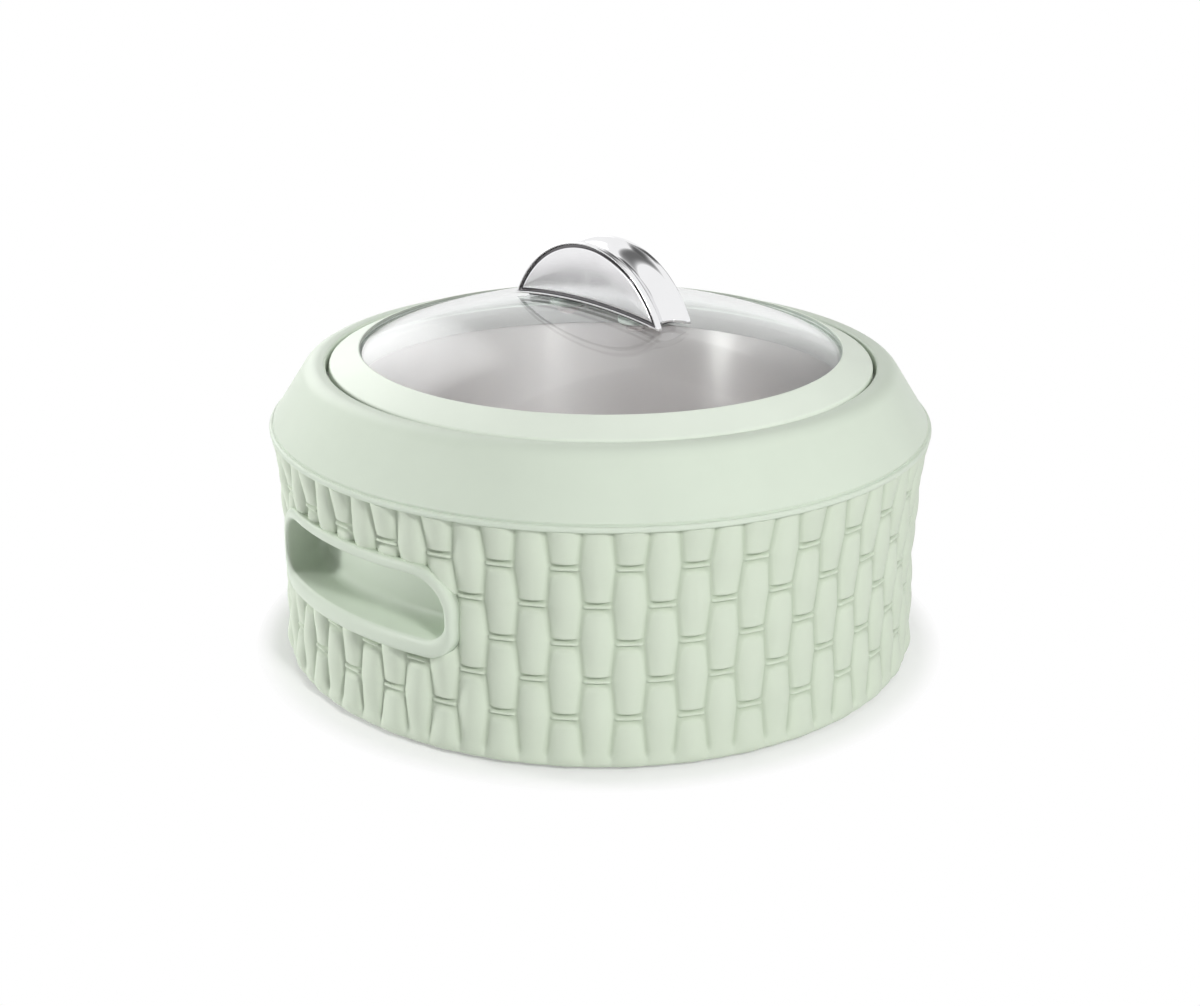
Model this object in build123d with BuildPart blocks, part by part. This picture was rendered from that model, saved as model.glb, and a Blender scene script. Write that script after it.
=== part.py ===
from build123d import *
from math import cos, hypot, radians, sin, sqrt
import os

# Insulated casserole: a foam-filled woven-look body with a steel bowl, and a lift-off glass lid.
# Millimetres. The origin is on the table under the middle of the body, +Z is up, and the two
# finger grips face -X and +X.

# Clearances
overrun = 6.0            # how far a cutting shape runs past what it cuts
fit_gap = 0.1            # pieces that are snapped, pressed or welded together
seat_gap = 0.3           # pieces that only lie close to each other

# Woven body wall
foot_height = 1.2        # the feet lift the bottom edge this far off the table
weave_top = 86.0         # height where the weave ends and the collar begins
waist_height = 42.0      # height where the wall is narrowest
waist_radius = 119.0     # radius over the slats there, which all other radii follow
rim_flare = 3.0          # extra radius under the collar
foot_flare = 1.6         # extra radius towards the bottom
bottom_round_height = 6.0
bottom_round_inset = 3.6
slat_pairs = 35          # upright slats side by side round the wall, in pairs
row_count = 5            # staggered rows of slat ends
lowest_row = 19.5        # height of the lowest of these rows
slit_half_width = 1.0    # half the gap between two slats of one column
slat_drop = 0.9          # a slat's ends lie this much deeper than its middle
slit_depth = 1.8
groove_depth = 1.5       # groove between neighbouring columns
wide_share = 0.84        # a slat's width at its middle, as a share of the column pitch
narrow_share = 0.64      # and at its ends
round_step_shares = (0.0, 0.3, 1.0)     # heights of the steps of the rounded bottom edge
round_inset_shares = (1.0, 0.38, 0.0)   # and how far each step is drawn in
body_wall = 2.0          # plastic left behind the deepest slit
bottom_flange_width = 9.0
bottom_flange_thickness = 3.0

# Finger grips
grip_drop = 22.0         # from the top of the weave down to the opening's upper edge
grip_opening = 22.0      # height of the opening
grip_half_length = 44.5
grip_top_corner = 12.5   # rounding of the opening's upper corners
grip_end_flat = 2.5      # straight stretch below it, before the lower corner begins
grip_depth = 15.5        # from the bezel's face to the back of the pocket
grip_wall = 2.0
bezel_side = 3.2         # width of the smooth bezel at the ends of the opening,
bezel_top = 4.0          # above it
bezel_bottom = 6.6       # and below it
bezel_raise = 2.0        # how far the bezel stands out of the slats
bezel_round_share = 0.375    # the bezel's outer edge is rounded by this share of its side width,
mouth_round_share = 0.5      # and the edge of the opening by this share
pocket_round = 4.0       # rounded edge at the back of the pocket

# Collar
bead_raise = 0.2         # the collar's lower edge is a bead that stands this far outside the weave
bead_height = 2.0
bead_step = 0.9          # the cone begins this far inside the bead
bead_round_share = 0.85  # the bead's edges are rounded by this share of its step
collar_height = 23.3     # from the weave to the collar's flat top
cone_inset = 14.6        # how far the cone is drawn in on its way from the bead to the flat top
top_land = 6.6           # width of the flat top before its edges are rounded
shoulder_round = 7.0
lip_round = 1.0
collar_wall = 2.8
collar_web = 2.5
ledge_drop = 6.3         # from the flat top down to the ledge that carries the bowl's rim
ledge_thickness = 2.4
spigot_depth = 6.0       # the collar's spigot snaps this deep into the body
spigot_wall = 2.4

# Steel bowl
bowl_taper = 6.0         # the floor's radius is this much less than the mouth's
bowl_floor_height = 20.0
bowl_corner = 18.0
bowl_sheet = 0.8
bowl_rim_gap = 0.8       # between the bowl's rim and the collar's mouth
bowl_rim_round = 2.0
bowl_seal_thickness = 0.8
bowl_seal_width = 4.5

# Base
base_recess = 0.4        # the cover lies this far inside the body's bottom edge
base_panel = 2.2
base_rim_width = 12.0
base_rim_thickness = 2.0
foot_radius = 9.0
foot_inset = 18.2        # from the edge of the base cover to the middle of a foot
foot_pocket = 1.0
foot_round = 0.5
foot_count = 4
plug_radius = 10.0
plug_head_radius = 13.0
plug_head = 1.0
plug_shank = 3.9

# Lid
seam_gap = 1.2           # open seam between the lid and the collar
lid_clearance = 0.6      # between the lid ring's lower edge and the bowl's rim
lid_edge_drop = 0.3      # the ring's outer edge lies this far below the collar's flat top
lid_edge_round = 1.6
lid_ring_width = 11.5    # from the ring's outer face to the edge of its lip over the glass
lid_slope_rise = 6.0     # the ring climbs this far from its outer edge to that lip
lid_lip = 1.4            # thickness of that lip
lid_lip_round = 0.5
glass_cover = 3.5        # how far the lip covers the glass
glass_thickness = 4.0
dome_rise = 16.3         # top of the glass above its edge at the lip
gasket_leg = 0.6
gasket_cover = 3.0       # how far the gasket's legs reach over the glass
gasket_web = 0.8
seal_wall_outer = 1.5    # walls of the lid seal's groove, outside it
seal_wall_inner = 2.0    # and inside it
seal_groove_depth = 1.8
retainer_width = 5.6
retainer_rim = 0.8
skirt_step = 1.7         # the retainer's skirt stands this far inside its rim
plug_skirt_depth = 6.6   # and reaches this far into the bowl's mouth
plug_skirt_wall = 2.0
plug_skirt_gap = 1.1     # between the skirt and the bowl
skirt_round_share = 0.4  # the skirt's lower edges are rounded by this share of its wall

# Handle
handle_rise = 22.8       # top of the handle above the top of the glass
handle_arc_radius = 41.3
handle_width = 17.0
handle_flange = 2.2      # the two half-moon flanges
saddle_depth = 4.0       # finger groove between them
face_border = 0.8        # bright border left round the recess of a satin face
face_groove = 1.2        # shadow groove between that border and the face
face_thickness = 1.0
pad_thickness = 0.8
pad_inset = 1.0
screw_spacing = 36.0
screw_radius = 2.0
screw_end_gap = 1.0      # the screw stops this far short of the end of its insert
head_radius = 3.8
head_height = 2.4
washer_radius = 5.5
washer_thickness = 0.8
grommet_radius = 4.0
grommet_flange_radius = 6.4
grommet_flange = 1.2
insert_radius = 3.0
insert_length = 8.0
insert_set_back = 0.7
thread_gap = 0.05

# Radii that follow from the sizes above, from the body inwards to the bowl's mouth
body_inner_radius = waist_radius - slit_depth - body_wall
base_opening_radius = body_inner_radius - bottom_flange_width
foot_circle_radius = base_opening_radius - foot_inset
land_radius = waist_radius - slit_depth
bezel_radius = waist_radius + bezel_raise
pocket_radius = bezel_radius - grip_depth
collar_radius = waist_radius + rim_flare + bead_raise
reach = collar_radius + overrun
shoulder_radius = collar_radius - cone_inset
lip_radius = shoulder_radius - top_land
bowl_rim_radius = lip_radius - bowl_rim_gap
lid_radius = lip_radius - seam_gap
window_radius = lid_radius - lid_ring_width
glass_radius = window_radius + glass_cover
gasket_radius = glass_radius + gasket_web
rebate_radius = gasket_radius + fit_gap
skirt_radius = gasket_radius - skirt_step
bowl_mouth_radius = skirt_radius + plug_skirt_gap
bowl_floor_radius = bowl_mouth_radius - bowl_taper

# Heights that follow, from the table upwards
slat_columns = 2 * slat_pairs
row_pitch = (weave_top - lowest_row) / row_count
flange_top = foot_height + bottom_flange_thickness
base_low = foot_height + base_recess
grip_high = weave_top - grip_drop
grip_low = grip_high - grip_opening
grip_low_corner = grip_opening - grip_top_corner - grip_end_flat
collar_top = weave_top + collar_height
ledge_height = collar_top - ledge_drop
bowl_seat = ledge_height + bowl_seal_thickness
bowl_top = bowl_seat + bowl_sheet
lid_low = bowl_top + lid_clearance
lid_edge_height = collar_top - lid_edge_drop
lid_lip_height = lid_edge_height + lid_slope_rise
dome_edge_height = lid_lip_height - lid_lip - gasket_leg - fit_gap
dome_top = dome_edge_height + dome_rise
dome_radius = (window_radius ** 2 + dome_rise ** 2) / (2 * dome_rise)
dome_centre = dome_top - dome_radius
handle_top = dome_top + handle_rise
handle_centre = handle_top - handle_arc_radius
handle_seat_radius = dome_radius + pad_thickness
flange_face = handle_width / 2

os.makedirs("parts", exist_ok=True)


def half_section(points, rounds=()):
    """Closed outline of (radius, height) points in the upright half plane, some corners rounded."""
    with BuildSketch(Plane.XZ) as section:
        with BuildLine():
            Polyline(*points, close=True)
        make_face()
        for corner, radius in rounds:
            fillet(section.vertices().sort_by_distance(points[corner])[0], radius)
    return section.sketch


def ring_section(inner, outer, low, high):
    """Rectangle between two radii and two heights, ready to be turned into a ring."""
    return half_section(((inner, low), (outer, low), (outer, high), (inner, high)))


def grip_outline(side, below, above):
    """Outline across X that surrounds the grip's opening by margins at its ends, below and above it."""
    low = grip_low - below
    high = grip_high + above
    with BuildSketch(Plane.YZ) as slot:
        with Locations((0, (low + high) / 2)):
            Rectangle(2 * (grip_half_length + side), high - low)
        fillet(slot.vertices().group_by(Axis.Y)[-1], grip_top_corner + side)
        fillet(slot.vertices().group_by(Axis.Y)[0], grip_low_corner + side)
    return slot.sketch


def slot_between(slot, inner, outer):
    """Slot pushed out towards -X and kept only between two radii about the upright axis."""
    with BuildPart() as block:
        extrude(slot, amount=-reach)
        revolve(ring_section(inner, outer, foot_height, collar_top), axis=Axis.Z, mode=Mode.INTERSECT)
    return block.part


def both_sides(block):
    """A left-hand block and its mirror image on the right."""
    return [block, mirror(block, about=Plane.YZ)]


def round_faces(builder, radius):
    """Faces of a piece that lie on the upright cylinder of a given radius."""
    return builder.faces().filter_by(lambda face: abs((face.radius or 0) - radius) < fit_gap)


def dome_height(radius, offset=0.0):
    """Height of the glass dome's outer face, or of a face offset outwards from it, at a radius."""
    return dome_centre + sqrt((dome_radius + offset) ** 2 - radius ** 2)


def crest_radius(height):
    """Radius over the slats: least at the waist, growing with the square of the way from it."""
    if height > waist_height:
        return waist_radius + rim_flare * ((height - waist_height) / (weave_top - waist_height)) ** 2
    return waist_radius + foot_flare * ((waist_height - height) / waist_height) ** 2


def weave_outline(height, row, slit, inset=0.0):
    """Cross-section of the woven wall, with a groove point and two slat edges for each column.

    In every row each second column's slats end, so they are narrow and lie deep there, and
    at the slit itself deeper still. The columns between them are at their wide, high middle.
    """
    pitch = radians(360 / slat_columns)
    radius = crest_radius(height) - inset
    points = []
    for column in range(slat_columns):
        ended = (column + row) % 2 == 0
        share = narrow_share if ended else wide_share
        share_before = wide_share if ended else narrow_share
        depth = 0.0
        if ended:
            depth = slit_depth if slit else slat_drop
        middle = column * pitch
        groove = middle - pitch / 2 + pitch * (share_before - share) / 4
        corners = (
            (groove, radius - groove_depth),
            (middle - pitch * share / 2, radius - depth),
            (middle + pitch * share / 2, radius - depth),
        )
        points += [(away * cos(angle), away * sin(angle)) for angle, away in corners]
    return points


# The woven wall's cross-sections with their heights, from the rounded bottom edge up to the collar
weave_steps = []
for step_share, inset_share in zip(round_step_shares, round_inset_shares):
    height = foot_height + step_share * bottom_round_height
    inset = inset_share * bottom_round_inset
    weave_steps.append((height, weave_outline(height, row_count + 1, False, inset)))
for row in range(row_count, 0, -1):
    row_height = weave_top - row * row_pitch
    for height in (row_height - slit_half_width, row_height, row_height + slit_half_width):
        weave_steps.append((height, weave_outline(height, row, height == row_height)))
weave_steps.append((weave_top, weave_outline(weave_top, 0, False)))

# Outlines of the grip, each one larger than the last by what surrounds it
opening_outline = grip_outline(0, 0, 0)
cup_outline = grip_outline(grip_wall, grip_wall, grip_wall)
cup_room_wall = grip_wall + seat_gap
cup_room_outline = grip_outline(cup_room_wall, cup_room_wall, cup_room_wall)
bezel_outline = grip_outline(bezel_side, bezel_bottom, bezel_top)
bezel_room_outline = grip_outline(bezel_side + fit_gap, bezel_bottom + fit_gap, bezel_top + fit_gap)

# Outer body: woven wall with an inward bottom flange and two grip openings
with BuildPart() as body_room:
    revolve(
        half_section((
            (0, foot_height - overrun),
            (base_opening_radius, foot_height - overrun),
            (base_opening_radius, flange_top),
            (body_inner_radius, flange_top),
            (body_inner_radius, weave_top + overrun),
            (0, weave_top + overrun),
        )),
        axis=Axis.Z,
    )
    add(both_sides(slot_between(bezel_room_outline, land_radius, reach)))
    add(both_sides(slot_between(cup_room_outline, bowl_mouth_radius, reach)))

with BuildPart() as outer_body:
    for height, outline in weave_steps:
        with BuildSketch(Plane.XY.offset(height)):
            with BuildLine():
                Polyline(*outline, close=True)
            make_face()
    loft(ruled=True)
    add(body_room.part, mode=Mode.SUBTRACT)
outer_body.part.label = "outer_body"
export_step(outer_body.part, "parts/outer_body.step")

# Finger grips: a pocket with a raised smooth bezel, one on each side
with BuildPart() as pocket:
    add(slot_between(opening_outline, pocket_radius, reach))
    fillet(round_faces(pocket, pocket_radius).edges(), pocket_round)

with BuildPart() as grip_left:
    add(slot_between(cup_outline, pocket_radius - grip_wall, bezel_radius))
    add(slot_between(bezel_outline, land_radius + fit_gap, bezel_radius))
    add(pocket.part, mode=Mode.SUBTRACT)
    bezel_face = round_faces(grip_left, bezel_radius)[0]
    mouth_edges = [edge for wire in bezel_face.inner_wires() for edge in wire.edges()]
    fillet(mouth_edges, mouth_round_share * bezel_side)
    fillet(round_faces(grip_left, bezel_radius)[0].outer_wire().edges(), bezel_round_share * bezel_side)
grip_left.part.label = "grip_left"
export_step(grip_left.part, "parts/grip_left.step")

with BuildPart() as grip_right:
    add(mirror(grip_left.part, about=Plane.YZ, mode=Mode.PRIVATE))
grip_right.part.label = "grip_right"
export_step(grip_right.part, "parts/grip_right.step")

# Collar: conical shoulder that carries the bowl's rim and the lid, with a spigot into the body
cone_low = weave_top + bead_height
cone_radius = collar_radius - bead_step
cone_run = cone_radius - shoulder_radius
cone_rise = collar_top - cone_low
cone_slope = cone_run / cone_rise
wall_run = collar_wall * hypot(cone_run, cone_rise) / cone_rise


def cone_inside(height):
    """Inner radius of the collar's cone at a height."""
    return cone_radius - wall_run - (height - cone_low) * cone_slope


spigot_radius = body_inner_radius - fit_gap
spigot_bore = spigot_radius - spigot_wall
web_top = weave_top + collar_web
ledge_low = ledge_height - ledge_thickness
ledge_radius = bowl_mouth_radius + bowl_sheet + bowl_rim_round
collar_points = (
    (collar_radius, weave_top),
    (collar_radius, cone_low),
    (cone_radius, cone_low),
    (shoulder_radius, collar_top),
    (lip_radius, collar_top),
    (lip_radius, ledge_height),
    (ledge_radius, ledge_height),
    (ledge_radius, ledge_low),
    (cone_inside(ledge_low), ledge_low),
    (cone_inside(web_top), web_top),
    (spigot_bore, web_top),
    (spigot_bore, weave_top - spigot_depth),
    (spigot_radius, weave_top - spigot_depth),
    (spigot_radius, weave_top),
)
bead_round = bead_round_share * bead_step
collar_rounds = ((0, bead_round), (1, bead_round), (3, shoulder_round), (4, lip_round))
with BuildPart() as collar:
    revolve(half_section(collar_points, collar_rounds), axis=Axis.Z)
collar.part.label = "collar"
export_step(collar.part, "parts/collar.step")

# Steel bowl with a flat rim
bowl_floor_outer = bowl_floor_radius + bowl_sheet
bowl_points = (
    (0, bowl_floor_height),
    (bowl_floor_radius, bowl_floor_height),
    (bowl_mouth_radius, bowl_top),
    (bowl_rim_radius, bowl_top),
    (bowl_rim_radius, bowl_seat),
    (bowl_mouth_radius + bowl_sheet, bowl_seat),
    (bowl_floor_outer, bowl_floor_height - bowl_sheet),
    (0, bowl_floor_height - bowl_sheet),
)
bowl_rounds = (
    (1, bowl_corner),
    (2, bowl_rim_round),
    (5, bowl_rim_round - bowl_sheet),
    (6, bowl_corner + bowl_sheet),
)
with BuildPart() as inner_bowl:
    revolve(half_section(bowl_points, bowl_rounds), axis=Axis.Z)
inner_bowl.part.label = "inner_bowl"
export_step(inner_bowl.part, "parts/inner_bowl.step")

# Seal between the bowl's rim and the collar's ledge
with BuildPart() as bowl_seal:
    seal_outer = bowl_rim_radius - seat_gap
    revolve(ring_section(seal_outer - bowl_seal_width, seal_outer, ledge_height, bowl_seat), axis=Axis.Z)
bowl_seal.part.label = "bowl_seal"
export_step(bowl_seal.part, "parts/bowl_seal.step")

# Base cover with pockets for the feet and a foam filling hole
base_rim_radius = body_inner_radius - seat_gap
base_rim_inner = base_rim_radius - base_rim_width
panel_top = base_low + base_panel
base_rim_top = flange_top + base_rim_thickness
with BuildPart() as base_cover:
    revolve(
        half_section((
            (0, base_low),
            (base_opening_radius - fit_gap, base_low),
            (base_opening_radius - fit_gap, flange_top),
            (base_rim_radius, flange_top),
            (base_rim_radius, base_rim_top),
            (base_rim_inner, base_rim_top),
            (base_rim_inner, panel_top),
            (0, panel_top),
        )),
        axis=Axis.Z,
    )
    with BuildSketch(Plane.XY.offset(base_low)):
        with PolarLocations(foot_circle_radius, foot_count, start_angle=360 / foot_count / 2):
            Circle(foot_radius + fit_gap)
    extrude(amount=foot_pocket, mode=Mode.SUBTRACT)
    with BuildSketch(Plane.XY.offset(base_low)):
        Circle(plug_head_radius + fit_gap)
    extrude(amount=plug_head, mode=Mode.SUBTRACT)
    with BuildSketch(Plane.XY.offset(base_low)):
        Circle(plug_radius + fit_gap)
    extrude(amount=base_panel + overrun, mode=Mode.SUBTRACT)
base_cover.part.label = "base_cover"
export_step(base_cover.part, "parts/base_cover.step")

# Plug that closes the foam filling hole
plug_seat = base_low + plug_head
with BuildPart() as foam_plug:
    with BuildSketch(Plane.XY.offset(base_low)):
        Circle(plug_head_radius)
    extrude(amount=plug_head)
    with BuildSketch(Plane.XY.offset(plug_seat)):
        Circle(plug_radius)
    extrude(amount=plug_shank)
foam_plug.part.label = "foam_plug"
export_step(foam_plug.part, "parts/foam_plug.step")

# Rubber feet
with BuildPart() as feet:
    with BuildSketch(Plane.XY):
        with PolarLocations(foot_circle_radius, foot_count, start_angle=360 / foot_count / 2):
            Circle(foot_radius)
    extrude(amount=base_low + foot_pocket)
    fillet(feet.edges().group_by(Axis.Z)[0], foot_round)
feet.part.label = "feet"
export_step(feet.part, "parts/feet.step")

# Insulating foam: fills the room between the bowl, the body, the collar and the base cover
foam_low = panel_top + seat_gap
foam_step = base_rim_top + seat_gap
foam_top = ledge_low - seat_gap
foam_radius = body_inner_radius - seat_gap
foam_neck = spigot_bore - seat_gap
foam_neck_low = weave_top - spigot_depth - seat_gap
foam_neck_high = web_top + seat_gap
foam_points = (
    (0, foam_low),
    (base_rim_inner - seat_gap, foam_low),
    (base_rim_inner - seat_gap, foam_step),
    (foam_radius, foam_step),
    (foam_radius, foam_neck_low),
    (foam_neck, foam_neck_low),
    (foam_neck, foam_neck_high),
    (cone_inside(foam_neck_high) - 2 * seat_gap, foam_neck_high),
    (cone_inside(foam_top) - 2 * seat_gap, foam_top),
    (0, foam_top),
)
bowl_room = bowl_sheet + seat_gap
bowl_room_points = (
    (0, bowl_floor_height - bowl_room),
    (bowl_floor_radius + bowl_room, bowl_floor_height - bowl_room),
    (bowl_mouth_radius + bowl_room, bowl_top),
    (0, bowl_top),
)
with BuildPart() as insulation_foam:
    revolve(half_section(foam_points), axis=Axis.Z)
    revolve(half_section(bowl_room_points, ((1, bowl_corner + bowl_room),)), axis=Axis.Z, mode=Mode.SUBTRACT)
    add(
        both_sides(slot_between(cup_room_outline, pocket_radius - grip_wall - seat_gap, reach)),
        mode=Mode.SUBTRACT,
    )
    with BuildSketch(Plane.XY.offset(foam_low)):
        Circle(plug_radius + seat_gap)
    extrude(amount=plug_seat + plug_shank + seat_gap - foam_low, mode=Mode.SUBTRACT)
insulation_foam.part.label = "insulation_foam"
export_step(insulation_foam.part, "parts/insulation_foam.step")

# Lid seal: soft ring under the lid that lies on the bowl's rim
seal_groove_outer = lid_radius - seal_wall_outer
seal_groove_inner = rebate_radius + seal_wall_inner
seal_groove_top = lid_low + seal_groove_depth
with BuildPart() as lid_seal:
    revolve(
        ring_section(seal_groove_inner + seat_gap, seal_groove_outer - seat_gap, bowl_top, seal_groove_top),
        axis=Axis.Z,
    )
lid_seal.part.label = "lid_seal"
export_step(lid_seal.part, "parts/lid_seal.step")

# Lid ring: sloping ring whose lip holds the glass
lip_under = gasket_leg + fit_gap
lid_ring_points = (
    (lid_radius, lid_low),
    (lid_radius, lid_edge_height),
    (window_radius, lid_lip_height),
    (window_radius, dome_height(window_radius, lip_under)),
    (rebate_radius, dome_height(rebate_radius, lip_under)),
    (rebate_radius, lid_low),
    (seal_groove_inner, lid_low),
    (seal_groove_inner, seal_groove_top),
    (seal_groove_outer, seal_groove_top),
    (seal_groove_outer, lid_low),
)
with BuildPart() as lid_ring:
    revolve(half_section(lid_ring_points, ((1, lid_edge_round), (2, lid_lip_round))), axis=Axis.Z)
lid_ring.part.label = "lid_ring"
export_step(lid_ring.part, "parts/lid_ring.step")

# Glass dome with two screw holes under the handle
screw_places = [(0, -screw_spacing / 2), (0, screw_spacing / 2)]
glass_edge = dome_height(glass_radius)
glass_edge_low = dome_height(glass_radius, -glass_thickness)
with BuildPart() as glass_dome:
    with BuildSketch(Plane.XZ):
        with BuildLine():
            outer_arc = RadiusArc((0, dome_top), (glass_radius, glass_edge), dome_radius)
            Line(outer_arc @ 1, (glass_radius, glass_edge_low))
            RadiusArc(
                (glass_radius, glass_edge_low), (0, dome_top - glass_thickness), -(dome_radius - glass_thickness)
            )
            Line((0, dome_top - glass_thickness), (0, dome_top))
        make_face()
    revolve(axis=Axis.Z)
    with BuildSketch(Plane.XY.offset(glass_edge_low)):
        with Locations(*screw_places):
            Circle(grommet_radius + fit_gap)
    extrude(amount=dome_top + overrun - glass_edge_low, mode=Mode.SUBTRACT)
glass_dome.part.label = "glass_dome"
export_step(glass_dome.part, "parts/glass_dome.step")

# Gasket round the glass edge, a channel with two legs
leg_inner = glass_radius - gasket_cover
channel_radius = glass_radius + fit_gap
under_glass = -glass_thickness - fit_gap / 2
over_glass = fit_gap / 2
gasket_points = (
    (leg_inner, dome_height(leg_inner, gasket_leg)),
    (gasket_radius, dome_height(gasket_radius, gasket_leg)),
    (gasket_radius, dome_height(gasket_radius, -glass_thickness - gasket_leg)),
    (leg_inner, dome_height(leg_inner, -glass_thickness - gasket_leg)),
    (leg_inner, dome_height(leg_inner, under_glass)),
    (channel_radius, dome_height(channel_radius, under_glass)),
    (channel_radius, dome_height(channel_radius, over_glass)),
    (leg_inner, dome_height(leg_inner, over_glass)),
)
with BuildPart() as glass_gasket:
    revolve(half_section(gasket_points), axis=Axis.Z)
glass_gasket.part.label = "glass_gasket"
export_step(glass_gasket.part, "parts/glass_gasket.step")

# Retainer: clamps the gasket from below and plugs into the bowl's mouth
retainer_offset = -glass_thickness - gasket_leg - fit_gap
retainer_inner = gasket_radius - retainer_width
skirt_round = skirt_round_share * plug_skirt_wall
skirt_low = lid_low - plug_skirt_depth
retainer_points = (
    (retainer_inner, dome_height(retainer_inner, retainer_offset)),
    (gasket_radius, dome_height(gasket_radius, retainer_offset)),
    (gasket_radius, dome_height(gasket_radius, retainer_offset) - retainer_rim),
    (skirt_radius, dome_height(gasket_radius, retainer_offset) - retainer_rim),
    (skirt_radius, skirt_low),
    (skirt_radius - plug_skirt_wall, skirt_low),
    (retainer_inner, lid_low),
)
with BuildPart() as lid_retainer:
    revolve(half_section(retainer_points, ((4, skirt_round), (5, skirt_round))), axis=Axis.Z)
lid_retainer.part.label = "lid_retainer"
export_step(lid_retainer.part, "parts/lid_retainer.step")

# Handle: two half-moon flanges with a finger groove between them
groove_half_width = flange_face - handle_flange
saddle_radius = (groove_half_width ** 2 + saddle_depth ** 2) / (2 * saddle_depth)
saddle_axis_radius = handle_arc_radius - saddle_depth + saddle_radius
face_plane = Plane.YZ.offset(flange_face - face_thickness)
insert_low = dome_height(screw_spacing / 2, pad_thickness) + insert_set_back
with BuildPart() as handle_grip:
    with BuildSketch(Plane.YZ):
        with Locations((0, handle_centre)):
            Circle(handle_arc_radius)
    extrude(amount=flange_face, both=True)
    with BuildSketch(Plane.XZ):
        with Locations((0, handle_centre + saddle_axis_radius)):
            Circle(saddle_radius)
    revolve(axis=Axis((0, 0, handle_centre), (1, 0, 0)), mode=Mode.SUBTRACT)
    with Locations((0, 0, dome_centre)):
        Sphere(handle_seat_radius, mode=Mode.SUBTRACT)


def half_moon(drawn_in, thickness):
    """Half-moon plate on the floor of the face's recess, drawn in from the flange's outline."""
    with BuildPart() as plate:
        with BuildSketch(face_plane):
            with Locations((0, handle_centre)):
                Circle(handle_arc_radius - drawn_in)
        extrude(amount=thickness)
        with Locations((0, 0, dome_centre)):
            Sphere(handle_seat_radius + drawn_in, mode=Mode.SUBTRACT)
    return plate.part


face_room = half_moon(face_border, face_thickness + overrun)
face_plate = half_moon(face_border + face_groove, face_thickness)

with BuildPart() as handle_body:
    add(handle_grip.part)
    add(face_room, mode=Mode.SUBTRACT)
    add(mirror(face_room, about=Plane.YZ, mode=Mode.PRIVATE), mode=Mode.SUBTRACT)
    with BuildSketch(Plane.XY.offset(dome_edge_height)):
        with Locations(*screw_places):
            Circle(insert_radius + thread_gap)
    extrude(amount=insert_low + insert_length + thread_gap - dome_edge_height, mode=Mode.SUBTRACT)
handle_body.part.label = "handle_grip"
export_step(handle_body.part, "parts/handle_grip.step")

# Satin half-moon faces let into the flanges
with BuildPart() as handle_face_right:
    add(face_plate)
handle_face_right.part.label = "handle_face_right"
export_step(handle_face_right.part, "parts/handle_face_right.step")

with BuildPart() as handle_face_left:
    add(mirror(face_plate, about=Plane.YZ, mode=Mode.PRIVATE))
handle_face_left.part.label = "handle_face_left"
export_step(handle_face_left.part, "parts/handle_face_left.step")

# Soft pad between the handle and the glass
seat_drop = handle_centre - dome_centre
foot_level = (handle_seat_radius ** 2 - handle_arc_radius ** 2 - seat_drop ** 2) / (2 * seat_drop)
foot_half_chord = sqrt(handle_arc_radius ** 2 - foot_level ** 2)
pad_half_length = foot_half_chord - saddle_depth - pad_inset
with BuildPart() as handle_pad:
    with BuildSketch(Plane.XY.offset(dome_edge_height)):
        RectangleRounded(handle_width - 2 * pad_inset, 2 * pad_half_length, handle_flange)
        with Locations(*screw_places):
            Circle(insert_radius + fit_gap, mode=Mode.SUBTRACT)
    extrude(amount=dome_rise + overrun)
    with Locations((0, 0, dome_centre)):
        Sphere(handle_seat_radius, mode=Mode.INTERSECT)
    with Locations((0, 0, dome_centre)):
        Sphere(dome_radius + fit_gap / 2, mode=Mode.SUBTRACT)
handle_pad.part.label = "handle_pad"
export_step(handle_pad.part, "parts/handle_pad.step")

# Threaded inserts in the handle
with BuildPart() as handle_inserts:
    with BuildSketch(Plane.XY.offset(insert_low)):
        with Locations(*screw_places):
            Circle(insert_radius)
            Circle(screw_radius + thread_gap, mode=Mode.SUBTRACT)
    extrude(amount=insert_length)
handle_inserts.part.label = "handle_inserts"
export_step(handle_inserts.part, "parts/handle_inserts.step")

# Soft grommets in the glass holes, each with a flange under the glass
under_dome_radius = dome_radius - glass_thickness - fit_gap / 2
grommet_low = dome_height(screw_spacing / 2 + grommet_flange_radius, -glass_thickness) - grommet_flange
with BuildPart() as grommet_flanges:
    with BuildSketch(Plane.XY.offset(grommet_low)):
        with Locations(*screw_places):
            Circle(grommet_flange_radius)
    extrude(amount=glass_thickness)
    with Locations((0, 0, dome_centre)):
        Sphere(under_dome_radius, mode=Mode.INTERSECT)

with BuildPart() as handle_grommets:
    add(grommet_flanges.part)
    with BuildSketch(Plane.XY.offset(grommet_low)):
        with Locations(*screw_places):
            Circle(grommet_radius)
    extrude(amount=dome_height(screw_spacing / 2 + grommet_radius) - grommet_low)
    with BuildSketch(Plane.XY.offset(grommet_low)):
        with Locations(*screw_places):
            Circle(screw_radius + fit_gap)
    extrude(amount=glass_thickness + grommet_flange + overrun, mode=Mode.SUBTRACT)
handle_grommets.part.label = "handle_grommets"
export_step(handle_grommets.part, "parts/handle_grommets.step")

# Washers under the grommets
washer_low = grommet_low - washer_thickness
with BuildPart() as handle_washers:
    with BuildSketch(Plane.XY.offset(washer_low)):
        with Locations(*screw_places):
            Circle(washer_radius)
            Circle(screw_radius + fit_gap, mode=Mode.SUBTRACT)
    extrude(amount=washer_thickness)
handle_washers.part.label = "handle_washers"
export_step(handle_washers.part, "parts/handle_washers.step")

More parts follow.
